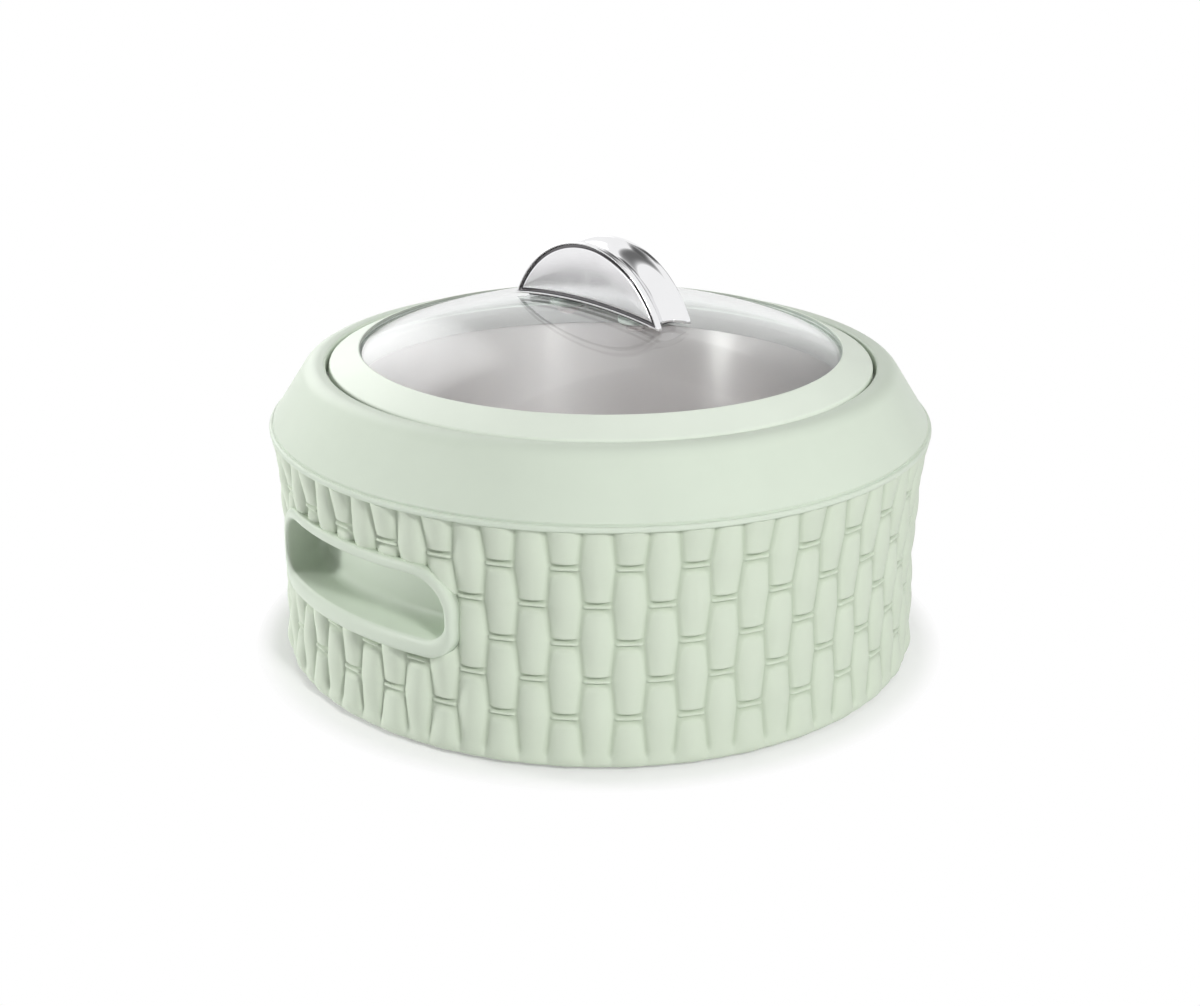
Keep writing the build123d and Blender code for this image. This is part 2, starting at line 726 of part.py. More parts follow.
# Screws from below, through the glass into the inserts
with BuildPart() as handle_screws:
    with BuildSketch(Plane.XY.offset(washer_low - head_height)):
        with Locations(*screw_places):
            Circle(head_radius)
    extrude(amount=head_height)
    with BuildSketch(Plane.XY.offset(washer_low)):
        with Locations(*screw_places):
            Circle(screw_radius)
    extrude(amount=insert_low + insert_length - screw_end_gap - washer_low)
handle_screws.part.label = "handle_screws"
export_step(handle_screws.part, "parts/handle_screws.step")
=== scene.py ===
"""Looks of the insulated casserole: woven body, collar, finger grips, steel bowl and glass lid.

Every shape is worked out with numpy in metres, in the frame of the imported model.
"""

from math import atan2, pi, radians, sqrt

import bmesh
import bpy
import numpy as np
from bpy.props import FloatProperty, FloatVectorProperty, IntProperty, PointerProperty
from mathutils import Matrix, Vector


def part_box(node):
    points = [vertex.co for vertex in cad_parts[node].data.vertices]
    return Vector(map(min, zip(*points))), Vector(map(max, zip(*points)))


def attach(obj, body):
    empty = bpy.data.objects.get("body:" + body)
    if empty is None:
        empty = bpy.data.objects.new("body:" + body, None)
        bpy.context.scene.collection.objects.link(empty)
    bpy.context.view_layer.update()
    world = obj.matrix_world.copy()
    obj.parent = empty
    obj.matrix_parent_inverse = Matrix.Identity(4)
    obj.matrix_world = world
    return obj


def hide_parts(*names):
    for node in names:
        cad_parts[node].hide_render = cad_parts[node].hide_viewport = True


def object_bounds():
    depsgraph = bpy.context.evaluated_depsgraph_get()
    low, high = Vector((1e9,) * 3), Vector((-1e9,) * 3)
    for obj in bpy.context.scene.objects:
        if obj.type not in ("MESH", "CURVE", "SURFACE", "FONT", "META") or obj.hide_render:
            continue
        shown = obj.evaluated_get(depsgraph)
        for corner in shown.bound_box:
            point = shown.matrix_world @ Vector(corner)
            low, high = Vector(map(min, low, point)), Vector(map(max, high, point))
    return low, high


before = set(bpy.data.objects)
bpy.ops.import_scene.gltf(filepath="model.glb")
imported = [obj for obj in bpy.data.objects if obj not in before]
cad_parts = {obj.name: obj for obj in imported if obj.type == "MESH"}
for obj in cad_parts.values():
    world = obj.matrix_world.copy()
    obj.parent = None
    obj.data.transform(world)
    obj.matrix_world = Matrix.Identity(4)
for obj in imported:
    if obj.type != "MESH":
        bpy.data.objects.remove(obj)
cad_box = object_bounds()

bl_info = {
    "name": "Insulated casserole looks",
    "version": (1, 0, 0),
    "blender": (4, 5, 0),
    "location": "3D View > Sidebar > Casserole",
    "description": "Builds the visible surfaces, finishes and stage of an insulated casserole",
    "category": "Object",
}

MERGE_DISTANCE = 1e-7      # points closer than this are one point
FINE_ROUND = 0.00015       # rounding of a moulded corner that has no larger one
FIT = 0.0001               # gap between two pieces that fit together
TURN_STEPS = 256           # steps round the casserole's upright axis
SMALL_TURN_STEPS = 64      # steps round a foot, screw or washer
CORNER_STEPS = 12          # points of a grip outline's corner
INNER_ROWS = 32            # grid rows up the wall's inside
RUN_SHARES = (0.04, 0.3, 0.7, 0.96)     # places of points along a straight run
FLANGE_SHARES = (0.12, 0.5, 1)          # grid places across the bottom flange
ACROSS_SLAT = (0, 0.055, 0.13, 0.26, 0.5, 0.74, 0.87, 0.945)   # grid places across a slat, as shares
# Grid heights about a slit, in half slit heights, and between two slits, as shares of the row pitch
ABOUT_SLIT = (-1.25, -1, -0.8, -0.5, -0.25, 0, 0.25, 0.5, 0.8, 1.0, 1.3, 1.75, 2.4)
BETWEEN_SLITS = (0.3, 0.42, 0.58, 0.74, 0.85)
ROUGH_FALL = 0.05          # how far a plastic's roughness falls below its middle
ROUGH_RISE = 0.06          # how far a finish's roughness rises above it

# Each new piece's body, the CAD node that it stands for, its material slot and its finish
PIECES = {
    "woven_wall": ("base", "outer_body", "woven_plastic", "Woven plastic"),
    "finger_grip_left": ("base", "grip_left", "smooth_plastic", "Smooth plastic"),
    "finger_grip_right": ("base", "grip_right", "smooth_plastic", "Smooth plastic"),
    "collar_moulding": ("base", "collar", "smooth_plastic", "Smooth plastic"),
    "steel_bowl": ("base", "inner_bowl", "bowl_steel", "Bowl steel"),
    "rubber_feet": ("base", "feet", "foot_rubber", "Foot rubber"),
    "lid_ring_moulding": ("lid", "lid_ring", "lid_plastic", "Lid plastic"),
    "dome_glass": ("lid", "glass_dome", "clear_glass", "Clear glass"),
    "gasket_channel": ("lid", "glass_gasket", "soft_seal", "Silicone"),
    "retainer_ring": ("lid", "lid_retainer", "retainer_plastic", "Retainer plastic"),
    "lid_seal_ring": ("seal", "lid_seal", "soft_seal", "Silicone"),
    "handle_casting": ("lid", "handle_grip", "handle_chrome", "Polished chrome"),
    "handle_plate_left": ("lid", "handle_face_left", "handle_satin", "Frosted satin"),
    "handle_plate_right": ("lid", "handle_face_right", "handle_satin", "Frosted satin"),
    "handle_pad_soft": ("lid", "handle_pad", "pad_rubber", "Pad rubber"),
    "glass_grommets": ("lid", "handle_grommets", "soft_seal", "Silicone"),
    "flat_washers": ("lid", "handle_washers", "screw_steel", "Screw steel"),
    "pan_screws": ("lid", "handle_screws", "screw_steel", "Screw steel"),
}

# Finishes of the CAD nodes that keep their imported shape
PACKED_FINISHES = {
    "base_cover": "Smooth plastic",
    "foam_plug": "Smooth plastic",
    "insulation_foam": "Rigid foam",
    "bowl_seal": "Silicone",
    "handle_inserts": "Turned brass",
}

# Cards that only mirrors see: name, centre, way to an end, way to a long edge and strength
CARDS = (
    ("dark_overhead", (-0.6, 0.56, 1.6), (2.1, 0, 0), (0, 0.42, 0), 0.16),
    ("dark_right", (1.29, 0.18, 0.8), (-0.07, 0.5, 0), (0, 0, 0.45), 0.1),
    ("dark_high", (1.142, 0.508, 1.17), (-0.155, 0.347, 0), (0, 0, 0.32), 0.1),
    ("dark_left", (-1.2, 0.72, 1.25), (-0.14, -0.23, 0), (0, 0, 0.48), 0.12),
    ("bright_panel", (0.23, 1.28, 0.76), (0.47, -0.08, 0), (0, 0, 0.58), 3.2),
    ("strip_front", (-0.51, -1.2, 0.35), (0.03, -0.012, 0), (0, 0, 0.25), 7.0),
    ("strip_left", (-1.24, 0.38, 0.35), (0.006, 0.018, 0), (0, 0, 0.25), 100.0),
    ("grey_low", (-0.2, 0.22, 0.03), (0.15, 0.135, 0), (0, 0, 0.055), 0.28),
)

# Lamps: name, azimuth and elevation in degrees, distance, side and power
LAMPS = (
    ("key_lamp", (-106, 34), 1.6, 0.22, 14.5),
    ("left_lamp", (119, 7), 1.5, 0.25, 16.5),
    ("top_lamp", (-20, 78), 1.6, 1.2, 4.6),
)


# Settings

def length(name, description, default):
    """A length in metres that a user can change."""
    return FloatProperty(name=name, description=description, default=default, unit="LENGTH", precision=5)


def share(name, description, default):
    """A share from 0 to 1 that a user can change."""
    return FloatProperty(name=name, description=description, default=default, min=0, max=1, subtype="FACTOR")


def colour(name, description, *default):
    """A linear colour that a user can change."""
    return FloatVectorProperty(
        name=name, description=description, default=default + (1,), size=4, min=0, max=1, subtype="COLOR"
    )


def low(node):
    """Lowest height of a CAD node."""
    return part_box(node)[0].z


def high(node):
    """Greatest height of a CAD node."""
    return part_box(node)[1].z


def reach(node):
    """Greatest distance of a CAD node along X."""
    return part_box(node)[1].x


class WeaveSizes(bpy.types.PropertyGroup):
    """Sizes of the woven wall."""

    foot_height: length("Foot height", "Height of the wall's bottom edge", low("outer_body"))
    top: length("Top", "Height where the weave ends", high("outer_body"))
    waist_radius: length("Waist radius", "Radius over the slats at the waist", reach("grip_right") - 0.002)
    waist_height: length("Waist height", "Height where the wall is narrowest", 0.042)
    rim_flare: length("Rim flare", "Extra radius under the collar", 0.003)
    foot_flare: length("Foot flare", "Extra radius towards the bottom", 0.0016)
    bottom_round_height: length("Bottom round height", "Height of the rounded bottom edge", 0.006)
    bottom_round_inset: length("Bottom round inset", "How far that edge is drawn in", 0.0036)
    flange: length("Flange", "Thickness of the bottom flange", 0.003)
    inner_radius: length("Inner radius", "Radius of the body's inside", 0.1152)
    flange_radius: length("Flange radius", "Inner edge of the bottom flange", 0.1062)
    lowest_row: length("Lowest row", "Height of the lowest row of slat ends", 0.0195)
    slat_drop: length("Slat drop", "Depth of a slat's ends below its middle", 0.0011)
    slit_depth: length("Slit depth", "Depth of the slit between two slats", 0.0027)
    slit_half_width: length("Slit half width", "Half the slit's height", 0.0012)
    slat_end_round: length("Slat end round", "Height of the rounded upper end of a slat", 0.0018)
    bar_rise: length("Bar rise", "Rise of the cross bar in a slit", 0.0013)
    groove_depth: length("Groove depth", "Depth of the groove between columns", 0.0026)
    bar_drop: share("Bar drop", "How far the bar lies below the slit's middle, of half its height", 0.4)
    bar_height: share("Bar height", "Height of the bar, of the slit's height", 0.55)
    relief_at_foot: share("Relief at foot", "Share of the relief that is left at the bottom edge", 0.15)
    groove_swing: share("Groove swing", "How far a groove swings aside, of the column pitch", 0.06)
    slat_crown: FloatProperty(name="Slat crown", description="Power of the slats' section", default=2.1)
    slat_pairs: IntProperty(name="Slat pairs", description="Pairs of upright columns", default=35, min=4)
    rows: IntProperty(name="Rows", description="Staggered rows of slat ends", default=5, min=1)


class GripSizes(bpy.types.PropertyGroup):
    """Sizes of the finger grips."""

    opening_low: length("Opening low", "Height of the opening's lower edge", 0.042)
    opening_high: length("Opening high", "Height of its upper edge", 0.064)
    half_length: length("Half length", "Half the opening's length", 0.0445)
    corner_high: length("Upper corner", "Radius of the opening's upper corners", 0.0125)
    corner_low: length("Lower corner", "Radius of its lower corners", 0.007)
    wall: length("Wall", "Thickness of the pocket", 0.002)
    bezel_side: length("Bezel side", "Width of the bezel at the ends", 0.0032)
    bezel_top: length("Bezel top", "Width of the bezel above the opening", 0.004)
    bezel_bottom: length("Bezel bottom", "Width of the bezel below the opening", 0.0066)
    bezel_radius: length("Bezel radius", "Radius of the bezel's face", reach("grip_right"))
    land_radius: length("Land radius", "Radius of the bezel's back", 0.1173)
    depth: length("Depth", "From the bezel's face to the back of the pocket", 0.0155)
    pocket_round: length("Pocket round", "Rounded edge at the back of the pocket", 0.004)


class CollarSizes(bpy.types.PropertyGroup):
    """Sizes of the collar."""

    radius: length("Radius", "Radius of the bead at the collar's foot", reach("collar"))
    top: length("Top", "Height of the flat top", high("collar"))
    spigot_low: length("Spigot low", "Lower end of the spigot in the body", low("collar"))
    bead_height: length("Bead height", "Height of the bead", 0.002)
    bead_groove: length("Bead groove", "Depth of the groove above the bead", 0.0015)
    cone_step: length("Cone step", "The cone starts this far inside the bead", 0.0009)
    shoulder_radius: length("Shoulder radius", "Where cone and flat top meet", 0.1076)
    shoulder_round: length("Shoulder round", "Rounding there", 0.007)
    lip_radius: length("Lip radius", "Mouth that the lid drops into", 0.101)
    lip_round: length("Lip round", "Rounding of the mouth's edge", 0.001)
    ledge_radius: length("Ledge radius", "Inner edge of the ledge under the bowl's rim", 0.0948)
    ledge_height: length("Ledge height", "Height of that ledge", 0.103)
    ledge_thickness: length("Ledge thickness", "Thickness of that ledge", 0.0024)
    wall: length("Wall", "Level thickness of the cone", 0.0033)


class BowlSizes(bpy.types.PropertyGroup):
    """Sizes of the steel bowl."""

    mouth_radius: length("Mouth radius", "Inner radius under the rim", 0.092)
    floor_radius: length("Floor radius", "Inner radius at the floor", 0.086)
    rim_radius: length("Rim radius", "Outer radius of the flat rim", reach("inner_bowl"))
    top: length("Top", "Height of the rim", high("inner_bowl"))
    bottom: length("Bottom", "Height of the floor's underside", low("inner_bowl"))
    corner: length("Corner", "Rounding between floor and wall", 0.018)
    rim_round: length("Rim round", "Rounding between wall and rim", 0.002)
    sheet: length("Sheet", "Thickness of the steel", 0.0008)


class LidSizes(bpy.types.PropertyGroup):
    """Sizes of the lid."""

    radius: length("Radius", "Outer radius of the ring", reach("lid_ring"))
    ring_low: length("Ring low", "Lower edge of the ring", low("lid_ring"))
    ring_high: length("Ring high", "Height of the ring's lip", high("lid_ring"))
    edge_height: length("Edge height", "Height of the ring's outer edge", 0.109)
    edge_round: length("Edge round", "Rounding of the outer edge", 0.0016)
    window_radius: length("Window radius", "Edge of the lip over the glass", 0.0883)
    lip: length("Lip", "Thickness of the lip", 0.0014)
    glass_radius: length("Glass radius", "Radius of the glass", reach("glass_dome"))
    glass_top: length("Glass top", "Top of the glass", high("glass_dome"))
    glass_thickness: length("Glass thickness", "Thickness of the glass", 0.004)
    dome_radius: length("Dome radius", "Radius of the sphere that the glass lies on", 0.24733)
    gasket_radius: length("Gasket radius", "Outer radius of the gasket", reach("glass_gasket"))
    gasket_leg: length("Gasket leg", "Thickness of the gasket's legs", 0.0006)
    gasket_cover: length("Gasket cover", "How far its legs reach over the glass", 0.003)
    retainer_inner: length("Retainer inner", "Inner radius of the retainer", 0.087)
    skirt_radius: length("Skirt radius", "Outer radius of the retainer's skirt", 0.0909)
    skirt_wall: length("Skirt wall", "Thickness of the skirt", 0.002)


class HandleSizes(bpy.types.PropertyGroup):
    """Sizes of the handle."""

    top: length("Top", "Top of the flanges", high("handle_grip"))
    half_width: length("Half width", "Half the handle's width", reach("handle_grip"))
    arc_radius: length("Arc radius", "Radius of the half-moon's arc", 0.0413)
    flange: length("Flange", "Thickness of a flange", 0.0022)
    saddle_depth: length("Saddle depth", "Depth of the finger groove", 0.004)
    edge_round: length("Edge round", "Rounding of the flanges' edges", 0.0005)
    face_border: length("Face border", "Bright border round the recess of a satin face", 0.0008)
    face_groove: length("Face groove", "Shadow groove between that border and the face", 0.0012)
    face_depth: length("Face depth", "Depth of the face's recess", 0.001)
    pad_thickness: length("Pad thickness", "Soft pad under the handle", 0.0008)
    screw_place: length("Screw place", "Distance of a screw from the middle", 0.018)


class Colours(bpy.types.PropertyGroup):
    """Colours of the finishes."""

    woven: colour("Woven", "Plastic of the woven wall", 0.640, 0.712, 0.590)
    # Painted shade: darker colour laid into the weave's grooves and slits, standing in for their shade.
    woven_painted_shade: colour("Woven shade", "Tone in the weave's crevices", 0.38, 0.45, 0.33)
    smooth: colour("Smooth", "Plastic of collar and grips", 0.645, 0.720, 0.611)
    lid: colour("Lid", "Plastic of the lid ring", 0.800, 0.870, 0.765)
    # Painted shadow: dark line on the lip's face where the ring meets the glass.
    lid_seam_painted_shadow: colour("Lid seam", "Tone of the seam between lid ring and glass", 0.03, 0.035, 0.03)
    # Painted shade: a dark grey, so that the retainer seen through the glass's edge looks shaded.
    retainer: colour("Retainer", "Plastic of the ring under the glass", 0.30, 0.295, 0.29)
    steel: colour("Steel", "Bowl and screws", 0.83, 0.785, 0.785)
    glass: colour("Glass", "Glass dome", 0.96, 0.985, 0.975)
    chrome: colour("Chrome", "Polished handle", 0.90, 0.90, 0.91)
    # Painted shade: dark colour laid into the handle's recess groove in place of its shadow.
    recess: colour("Recess", "Shadow groove round the handle's faces", 0.16, 0.155, 0.16)
    satin: colour("Satin", "Frosted handle faces", 0.94, 0.935, 0.95)
    seal: colour("Seal", "Silicone seals", 0.66, 0.70, 0.66)
    # Partly painted shadow: a black rubber pad, whose near-black also stands in for the shadow line under
    # the handle.
    pad: colour("Pad", "Pad under the handle", 0.03, 0.03, 0.032)
    rubber: colour("Rubber", "Feet", 0.27, 0.32, 0.26)
    foam: colour("Foam", "Insulating foam", 0.78, 0.70, 0.42)
    brass: colour("Brass", "Threaded inserts", 0.57, 0.35, 0.09)


class CasseroleSettings(bpy.types.PropertyGroup):
    """All settings of the casserole."""

    weave: PointerProperty(type=WeaveSizes)
    grip: PointerProperty(type=GripSizes)
    collar: PointerProperty(type=CollarSizes)
    bowl: PointerProperty(type=BowlSizes)
    lid: PointerProperty(type=LidSizes)
    handle: PointerProperty(type=HandleSizes)
    colours: PointerProperty(type=Colours)


# Surfaces

def smooth_step(start, end, value):
    """0 before start, 1 after end, and the cubic 3t^2 - 2t^3 between them."""
    t = np.clip((value - start) / (end - start), 0, 1)
    return t * t * (3 - 2 * t)


def unit(vectors):
    """Vectors of length 1 in the same directions."""
    return vectors / np.linalg.norm(vectors, axis=-1, keepdims=True)


def quarter(steps):
    """Angles of a quarter turn."""
    return np.linspace(0, pi / 2, steps)


def rounded(corners, closed=True, arc_steps=7):
    """Outline through (across, up, round) corners, each corner replaced by an arc.

    An arc touches both sides of its corner, and its centre lies on the corner's bisector at
    round / sin(half the corner's angle). Between two arcs lie four points of the straight run,
    two of them close to its ends, so that shading stays flat along it.
    """
    corners = np.array(corners, float)
    place = corners[:, :2]
    size = np.maximum(corners[:, 2:], FINE_ROUND)
    before = unit(np.roll(place, 1, 0) - place)
    after = unit(np.roll(place, -1, 0) - place)
    half = np.arccos(np.clip((before * after).sum(1, keepdims=True), -1, 1)) / 2
    centre = place + unit(before + after) * size / np.sin(half)
    start = place + before * size / np.tan(half) - centre
    end = place + after * size / np.tan(half) - centre
    turn = (pi - 2 * half)[:, None]
    t = np.linspace(0, 1, arc_steps)[None, :, None]
    arcs = (start[:, None] * np.sin((1 - t) * turn) + end[:, None] * np.sin(t * turn)) / np.sin(turn)
    arcs = arcs + centre[:, None]
    if not closed:
        arcs[0] = place[0]
        arcs[-1] = place[-1]
    leave = arcs[:, -1:]
    arrive = np.roll(arcs, -1, 0)[:, :1]
    runs = leave + (arrive - leave) * np.array(RUN_SHARES)[None, :, None]
    outline = np.concatenate((arcs, runs), 1)
    if closed:
        return outline.reshape(-1, 2)
    inner = outline[1:-1].reshape(-1, 2)
    return np.concatenate((place[:1], runs[0], inner, place[-1:]))


def turned(outline, steps=TURN_STEPS, centre=(0, 0)):
    """Outline of (radius, height) points turned about an upright axis through centre."""
    angle = np.linspace(0, 2 * pi, steps, endpoint=False)[:, None]
    radius, height = outline.T
    return np.stack((
        centre[0] + radius * np.cos(angle),
        centre[1] + radius * np.sin(angle),
        np.broadcast_to(height, (steps, len(outline))),
    ), -1)


def grid_faces(rows, columns, wrap_rows, wrap_columns):
    """Four-cornered faces between neighbouring points of a grid, joined at its ends where it wraps."""
    index = np.arange(rows * columns).reshape(rows, columns)
    if wrap_rows:
        index = np.vstack((index, index[:1]))
    if wrap_columns:
        index = np.hstack((index, index[:, :1]))
    corners = (index[:-1, :-1], index[:-1, 1:], index[1:, 1:], index[1:, :-1])
    return np.stack(corners, -1).reshape(-1, 4)


def make_mesh(name, points, faces, merge=True):
    """Mesh of points and faces, smooth, with doubles merged and faces turned outwards where asked."""
    mesh = bpy.data.meshes.new(name)
    mesh.from_pydata(points.reshape(-1, 3).tolist(), [], faces.tolist())
    if merge:
        work = bmesh.new()
        work.from_mesh(mesh)
        bmesh.ops.remove_doubles(work, verts=work.verts, dist=MERGE_DISTANCE)
        bmesh.ops.dissolve_degenerate(work, edges=work.edges, dist=MERGE_DISTANCE)
        bmesh.ops.recalc_face_normals(work, faces=work.faces)
        work.to_mesh(mesh)
        work.free()
    mesh.shade_smooth()
    return mesh


def add_object(name, data):
    """New object of a mesh, lamp or camera in the scene."""
    made = bpy.data.objects.new(name, data)
    bpy.context.scene.collection.objects.link(made)
    return made


def show(name, mesh):
    """Object of a finished mesh that rides on a body, stands for a CAD node and has a finish."""
    body, node, slot, finish = PIECES[name]
    piece = add_object(name, mesh)
    mesh.materials.append(bpy.data.materials[finish])
    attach(piece, body)
    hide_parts(node)


def show_grids(name, grids, wrap_columns=False):
    """Mesh of a piece made of point grids that wrap along their rows, each a closed surface."""
    faces = []
    count = 0
    for grid in grids:
        rows, columns, _ = grid.shape
        faces.append(grid_faces(rows, columns, True, wrap_columns) + count)
        count += rows * columns
    points = np.concatenate([grid.reshape(-1, 3) for grid in grids])
    mesh = make_mesh(name, points, np.concatenate(faces))
    show(name, mesh)
    return mesh


def show_turned(name, corners, closed=True, arc_steps=7, centres=None):
    """Mesh of a piece turned from rounded corners, about the middle or as a small one about each centre."""
    outline = rounded(corners, closed, arc_steps)
    if centres is None:
        grids = [turned(outline)]
    else:
        grids = [turned(outline, SMALL_TURN_STEPS, centre) for centre in centres]
    return show_grids(name, grids, closed)


def vertex_places(mesh):
    """X, Y and Z of all points of a mesh."""
    place = np.empty(3 * len(mesh.vertices), np.float32)
    mesh.vertices.foreach_get("co", place)
    return place.reshape(-1, 3).T


def set_values(mesh, name, values):
    """Attribute with one value for each point of a mesh."""
    attribute = mesh.attributes.new(name, "FLOAT", "POINT")
    attribute.data.foreach_set("value", values.ravel().astype(np.float32))


def crest_radius(weave, height):
    """Radius over the slats: least at the waist, growing with the square of the way from it."""
    above = np.maximum(height - weave.waist_height, 0) / (weave.top - weave.waist_height)
    below = np.maximum(weave.waist_height - height, 0) / weave.waist_height
    return weave.waist_radius + weave.rim_flare * above ** 2 + weave.foot_flare * below ** 2


def weave_heights(weave):
    """Heights of the weave's grid rows, close together at each row of slat ends and at the bottom edge."""
    pitch = (weave.top - weave.lowest_row) / weave.rows
    near = weave.slit_half_width * np.array(ABOUT_SLIT)
    one_row = np.concatenate((near, pitch * np.array(BETWEEN_SLITS)))
    heights = weave.top - (pitch * np.arange(weave.rows + 2)[:, None] + one_row).ravel()
    bend_top = weave.foot_height + weave.bottom_round_height
    upright = heights[(heights > bend_top + FINE_ROUND) & (heights < weave.top - FINE_ROUND)]
    bend = weave.foot_height + weave.bottom_round_height * (1 - np.sin(quarter(8)))
    return np.concatenate(((weave.top,), upright, bend))


def weave_relief(weave, heights):
    """Angle and depth of every point of the weave, for (column, place across, height).

    Slats of a column end in every second row, staggered from column to column. A slat narrows with
    the cube of the way to its ends, so the groove beside it swings with the difference of two
    neighbouring slats. Across a slat the depth falls with a power of the way from groove to crown.
    A slit has a half-round cross bar, and the slat below it starts with a rounded end. Towards the
    bottom edge the whole relief fades.
    """
    columns = 2 * weave.slat_pairs
    row_pitch = (weave.top - weave.lowest_row) / weave.rows
    column = np.arange(columns)[:, None]
    way = np.minimum((weave.top - heights) / row_pitch, weave.rows + 1)[None]
    slat = (way - column % 2) / 2
    past_end = 2 * (slat - np.round(slat))
    end = np.abs(past_end)
    barrel = 1 - (1 - end) ** 3
    swing = weave.groove_swing * (np.roll(barrel, 1, 0) - barrel)
    groove = 2 * pi / columns * (column - 0.5 + swing)
    next_groove = np.roll(groove, -1, 0)
    next_groove[-1] += 2 * pi
    across = np.array(ACROSS_SLAT)[None, :, None]
    angle = groove[:, None] + (next_groove - groove)[:, None] * across
    edge = 1 - 2 * np.minimum(across, 1 - across)
    side = edge ** weave.slat_crown
    drop = (weave.slat_drop * (1 + np.cos(pi * end)) / 2)[:, None]
    depth = drop + (weave.groove_depth - drop) * side
    ended = ((way > 0.5) & (way < weave.rows + 0.5))[None]
    half = weave.slit_half_width
    upper_start = -1.25 * half
    below = (past_end * row_pitch)[:, None]
    end_curve = weave.slat_end_round * edge ** 3
    upper_edge = smooth_step(upper_start, -half, below)
    lower_edge = 1 - smooth_step(half, half + weave.slat_end_round, below - end_curve)
    from_bar = (below / half - weave.bar_drop) / weave.bar_height
    bar = weave.bar_rise * np.sqrt(np.maximum(1 - from_bar ** 2, 0))
    slit_fade = 1 - edge ** 6
    slit = upper_edge * lower_edge * slit_fade * ended
    depth = depth + (weave.slit_depth - bar - depth) * slit
    rise = smooth_step(weave.foot_height, weave.foot_height + weave.bottom_round_height, heights)
    return angle, depth * (weave.relief_at_foot + (1 - weave.relief_at_foot) * rise)


def weave_grid(weave):
    """Points of the woven wall: over the slats, round the bottom flange and up its smooth inside.

    A point of the outside lies at the crest's radius less the relief's depth, and along the bottom
    edge less the inset of a quarter ellipse. The grid closes on itself at the top edge.
    """
    heights = weave_heights(weave)
    angle, depth = weave_relief(weave, heights)
    angle = angle.reshape(-1, len(heights))
    depth = depth.reshape(-1, len(heights))
    bend_top = weave.foot_height + weave.bottom_round_height
    bend = np.clip((bend_top - heights) / weave.bottom_round_height, 0, 1)
    inset = weave.bottom_round_inset * (1 - np.sqrt(1 - bend ** 2))
    outside = crest_radius(weave, heights) - inset - depth
    flange = outside[:, -1:] + (weave.flange_radius - outside[:, -1:]) * np.array(FLANGE_SHARES)
    flange_top = weave.foot_height + weave.flange
    inner_height = np.append(flange_top, np.linspace(flange_top, weave.top, INNER_ROWS))
    inner_radius = np.append(weave.flange_radius, np.full(INNER_ROWS, weave.inner_radius))
    column = np.arange(2 * weave.slat_pairs)[:, None]
    plain_angle = ((column - 0.5 + np.array(ACROSS_SLAT)) * pi / weave.slat_pairs).reshape(-1, 1)
    radius = np.hstack((outside, flange, np.tile(inner_radius, (len(outside), 1))))
    flange_angle = np.repeat(angle[:, -1:], len(FLANGE_SHARES), 1)
    angle = np.hstack((angle, flange_angle, np.repeat(plain_angle, len(inner_height), 1)))
    relief = np.pad(depth, ((0, 0), (0, len(FLANGE_SHARES) + len(inner_height))))
    height = np.concatenate((heights, np.full(len(FLANGE_SHARES), weave.foot_height), inner_height))
    height = np.broadcast_to(height, radius.shape)
    points = np.stack((radius * np.cos(angle), radius * np.sin(angle), height), -1)
    return points, relief / weave.slit_depth


def close_openings(mesh):
    """Walls of the two grip openings: the outer and the inner edge of each opening are bridged."""
    work = bmesh.new()
    work.from_mesh(mesh)
    for side in (-1, 1):
        edges = [edge for edge in work.edges if edge.is_boundary and edge.verts[0].co.x * side > 0]
        bmesh.ops.bridge_loops(work, edges=edges)
    bmesh.ops.recalc_face_normals(work, faces=work.faces)
    work.to_mesh(mesh)
    work.free()
    mesh.shade_smooth()


def outside_slot(grip, across, up):
    """Distance outside the rounded outline of the grip's opening, negative inside it."""
    half_height = (grip.opening_high - grip.opening_low) / 2
    middle = (grip.opening_high + grip.opening_low) / 2
    corner = np.where(up > middle, grip.corner_high, grip.corner_low)
    past_end = np.abs(across) - (grip.half_length - corner)
    past_edge = np.abs(up - middle) - (half_height - corner)
    outside = np.hypot(np.maximum(past_end, 0), np.maximum(past_edge, 0))
    return outside + np.minimum(np.maximum(past_end, past_edge), 0) - corner


def slot_outline(half_length, low_edge, high_edge, low_corner, high_corner):
    """Rounded outline with the same count of points in every corner and run, so that rings match.

    Each corner is a quarter circle about its own centre, and even points lead from its end to the
    start of the next corner.
    """
    high_run = half_length - high_corner
    low_run = half_length - low_corner
    arcs = []
    for across, up, size in (
        (high_run, high_edge - high_corner, high_corner),
        (-high_run, high_edge - high_corner, high_corner),
        (-low_run, low_edge + low_corner, low_corner),
        (low_run, low_edge + low_corner, low_corner),
    ):
        angle = len(arcs) * pi / 2 + quarter(CORNER_STEPS)
        arcs.append(np.stack((across + size * np.cos(angle), up + size * np.sin(angle)), -1))
    long_run, short_run = 40, 3
    outline = []
    for arc, following, steps in zip(arcs, arcs[1:] + arcs[:1], (long_run, short_run) * 2):
        t = np.linspace(0, 1, steps + 2)[1:-1, None]
        outline += [arc, arc[-1] + (following[0] - arc[-1]) * t]
    return np.concatenate(outline)


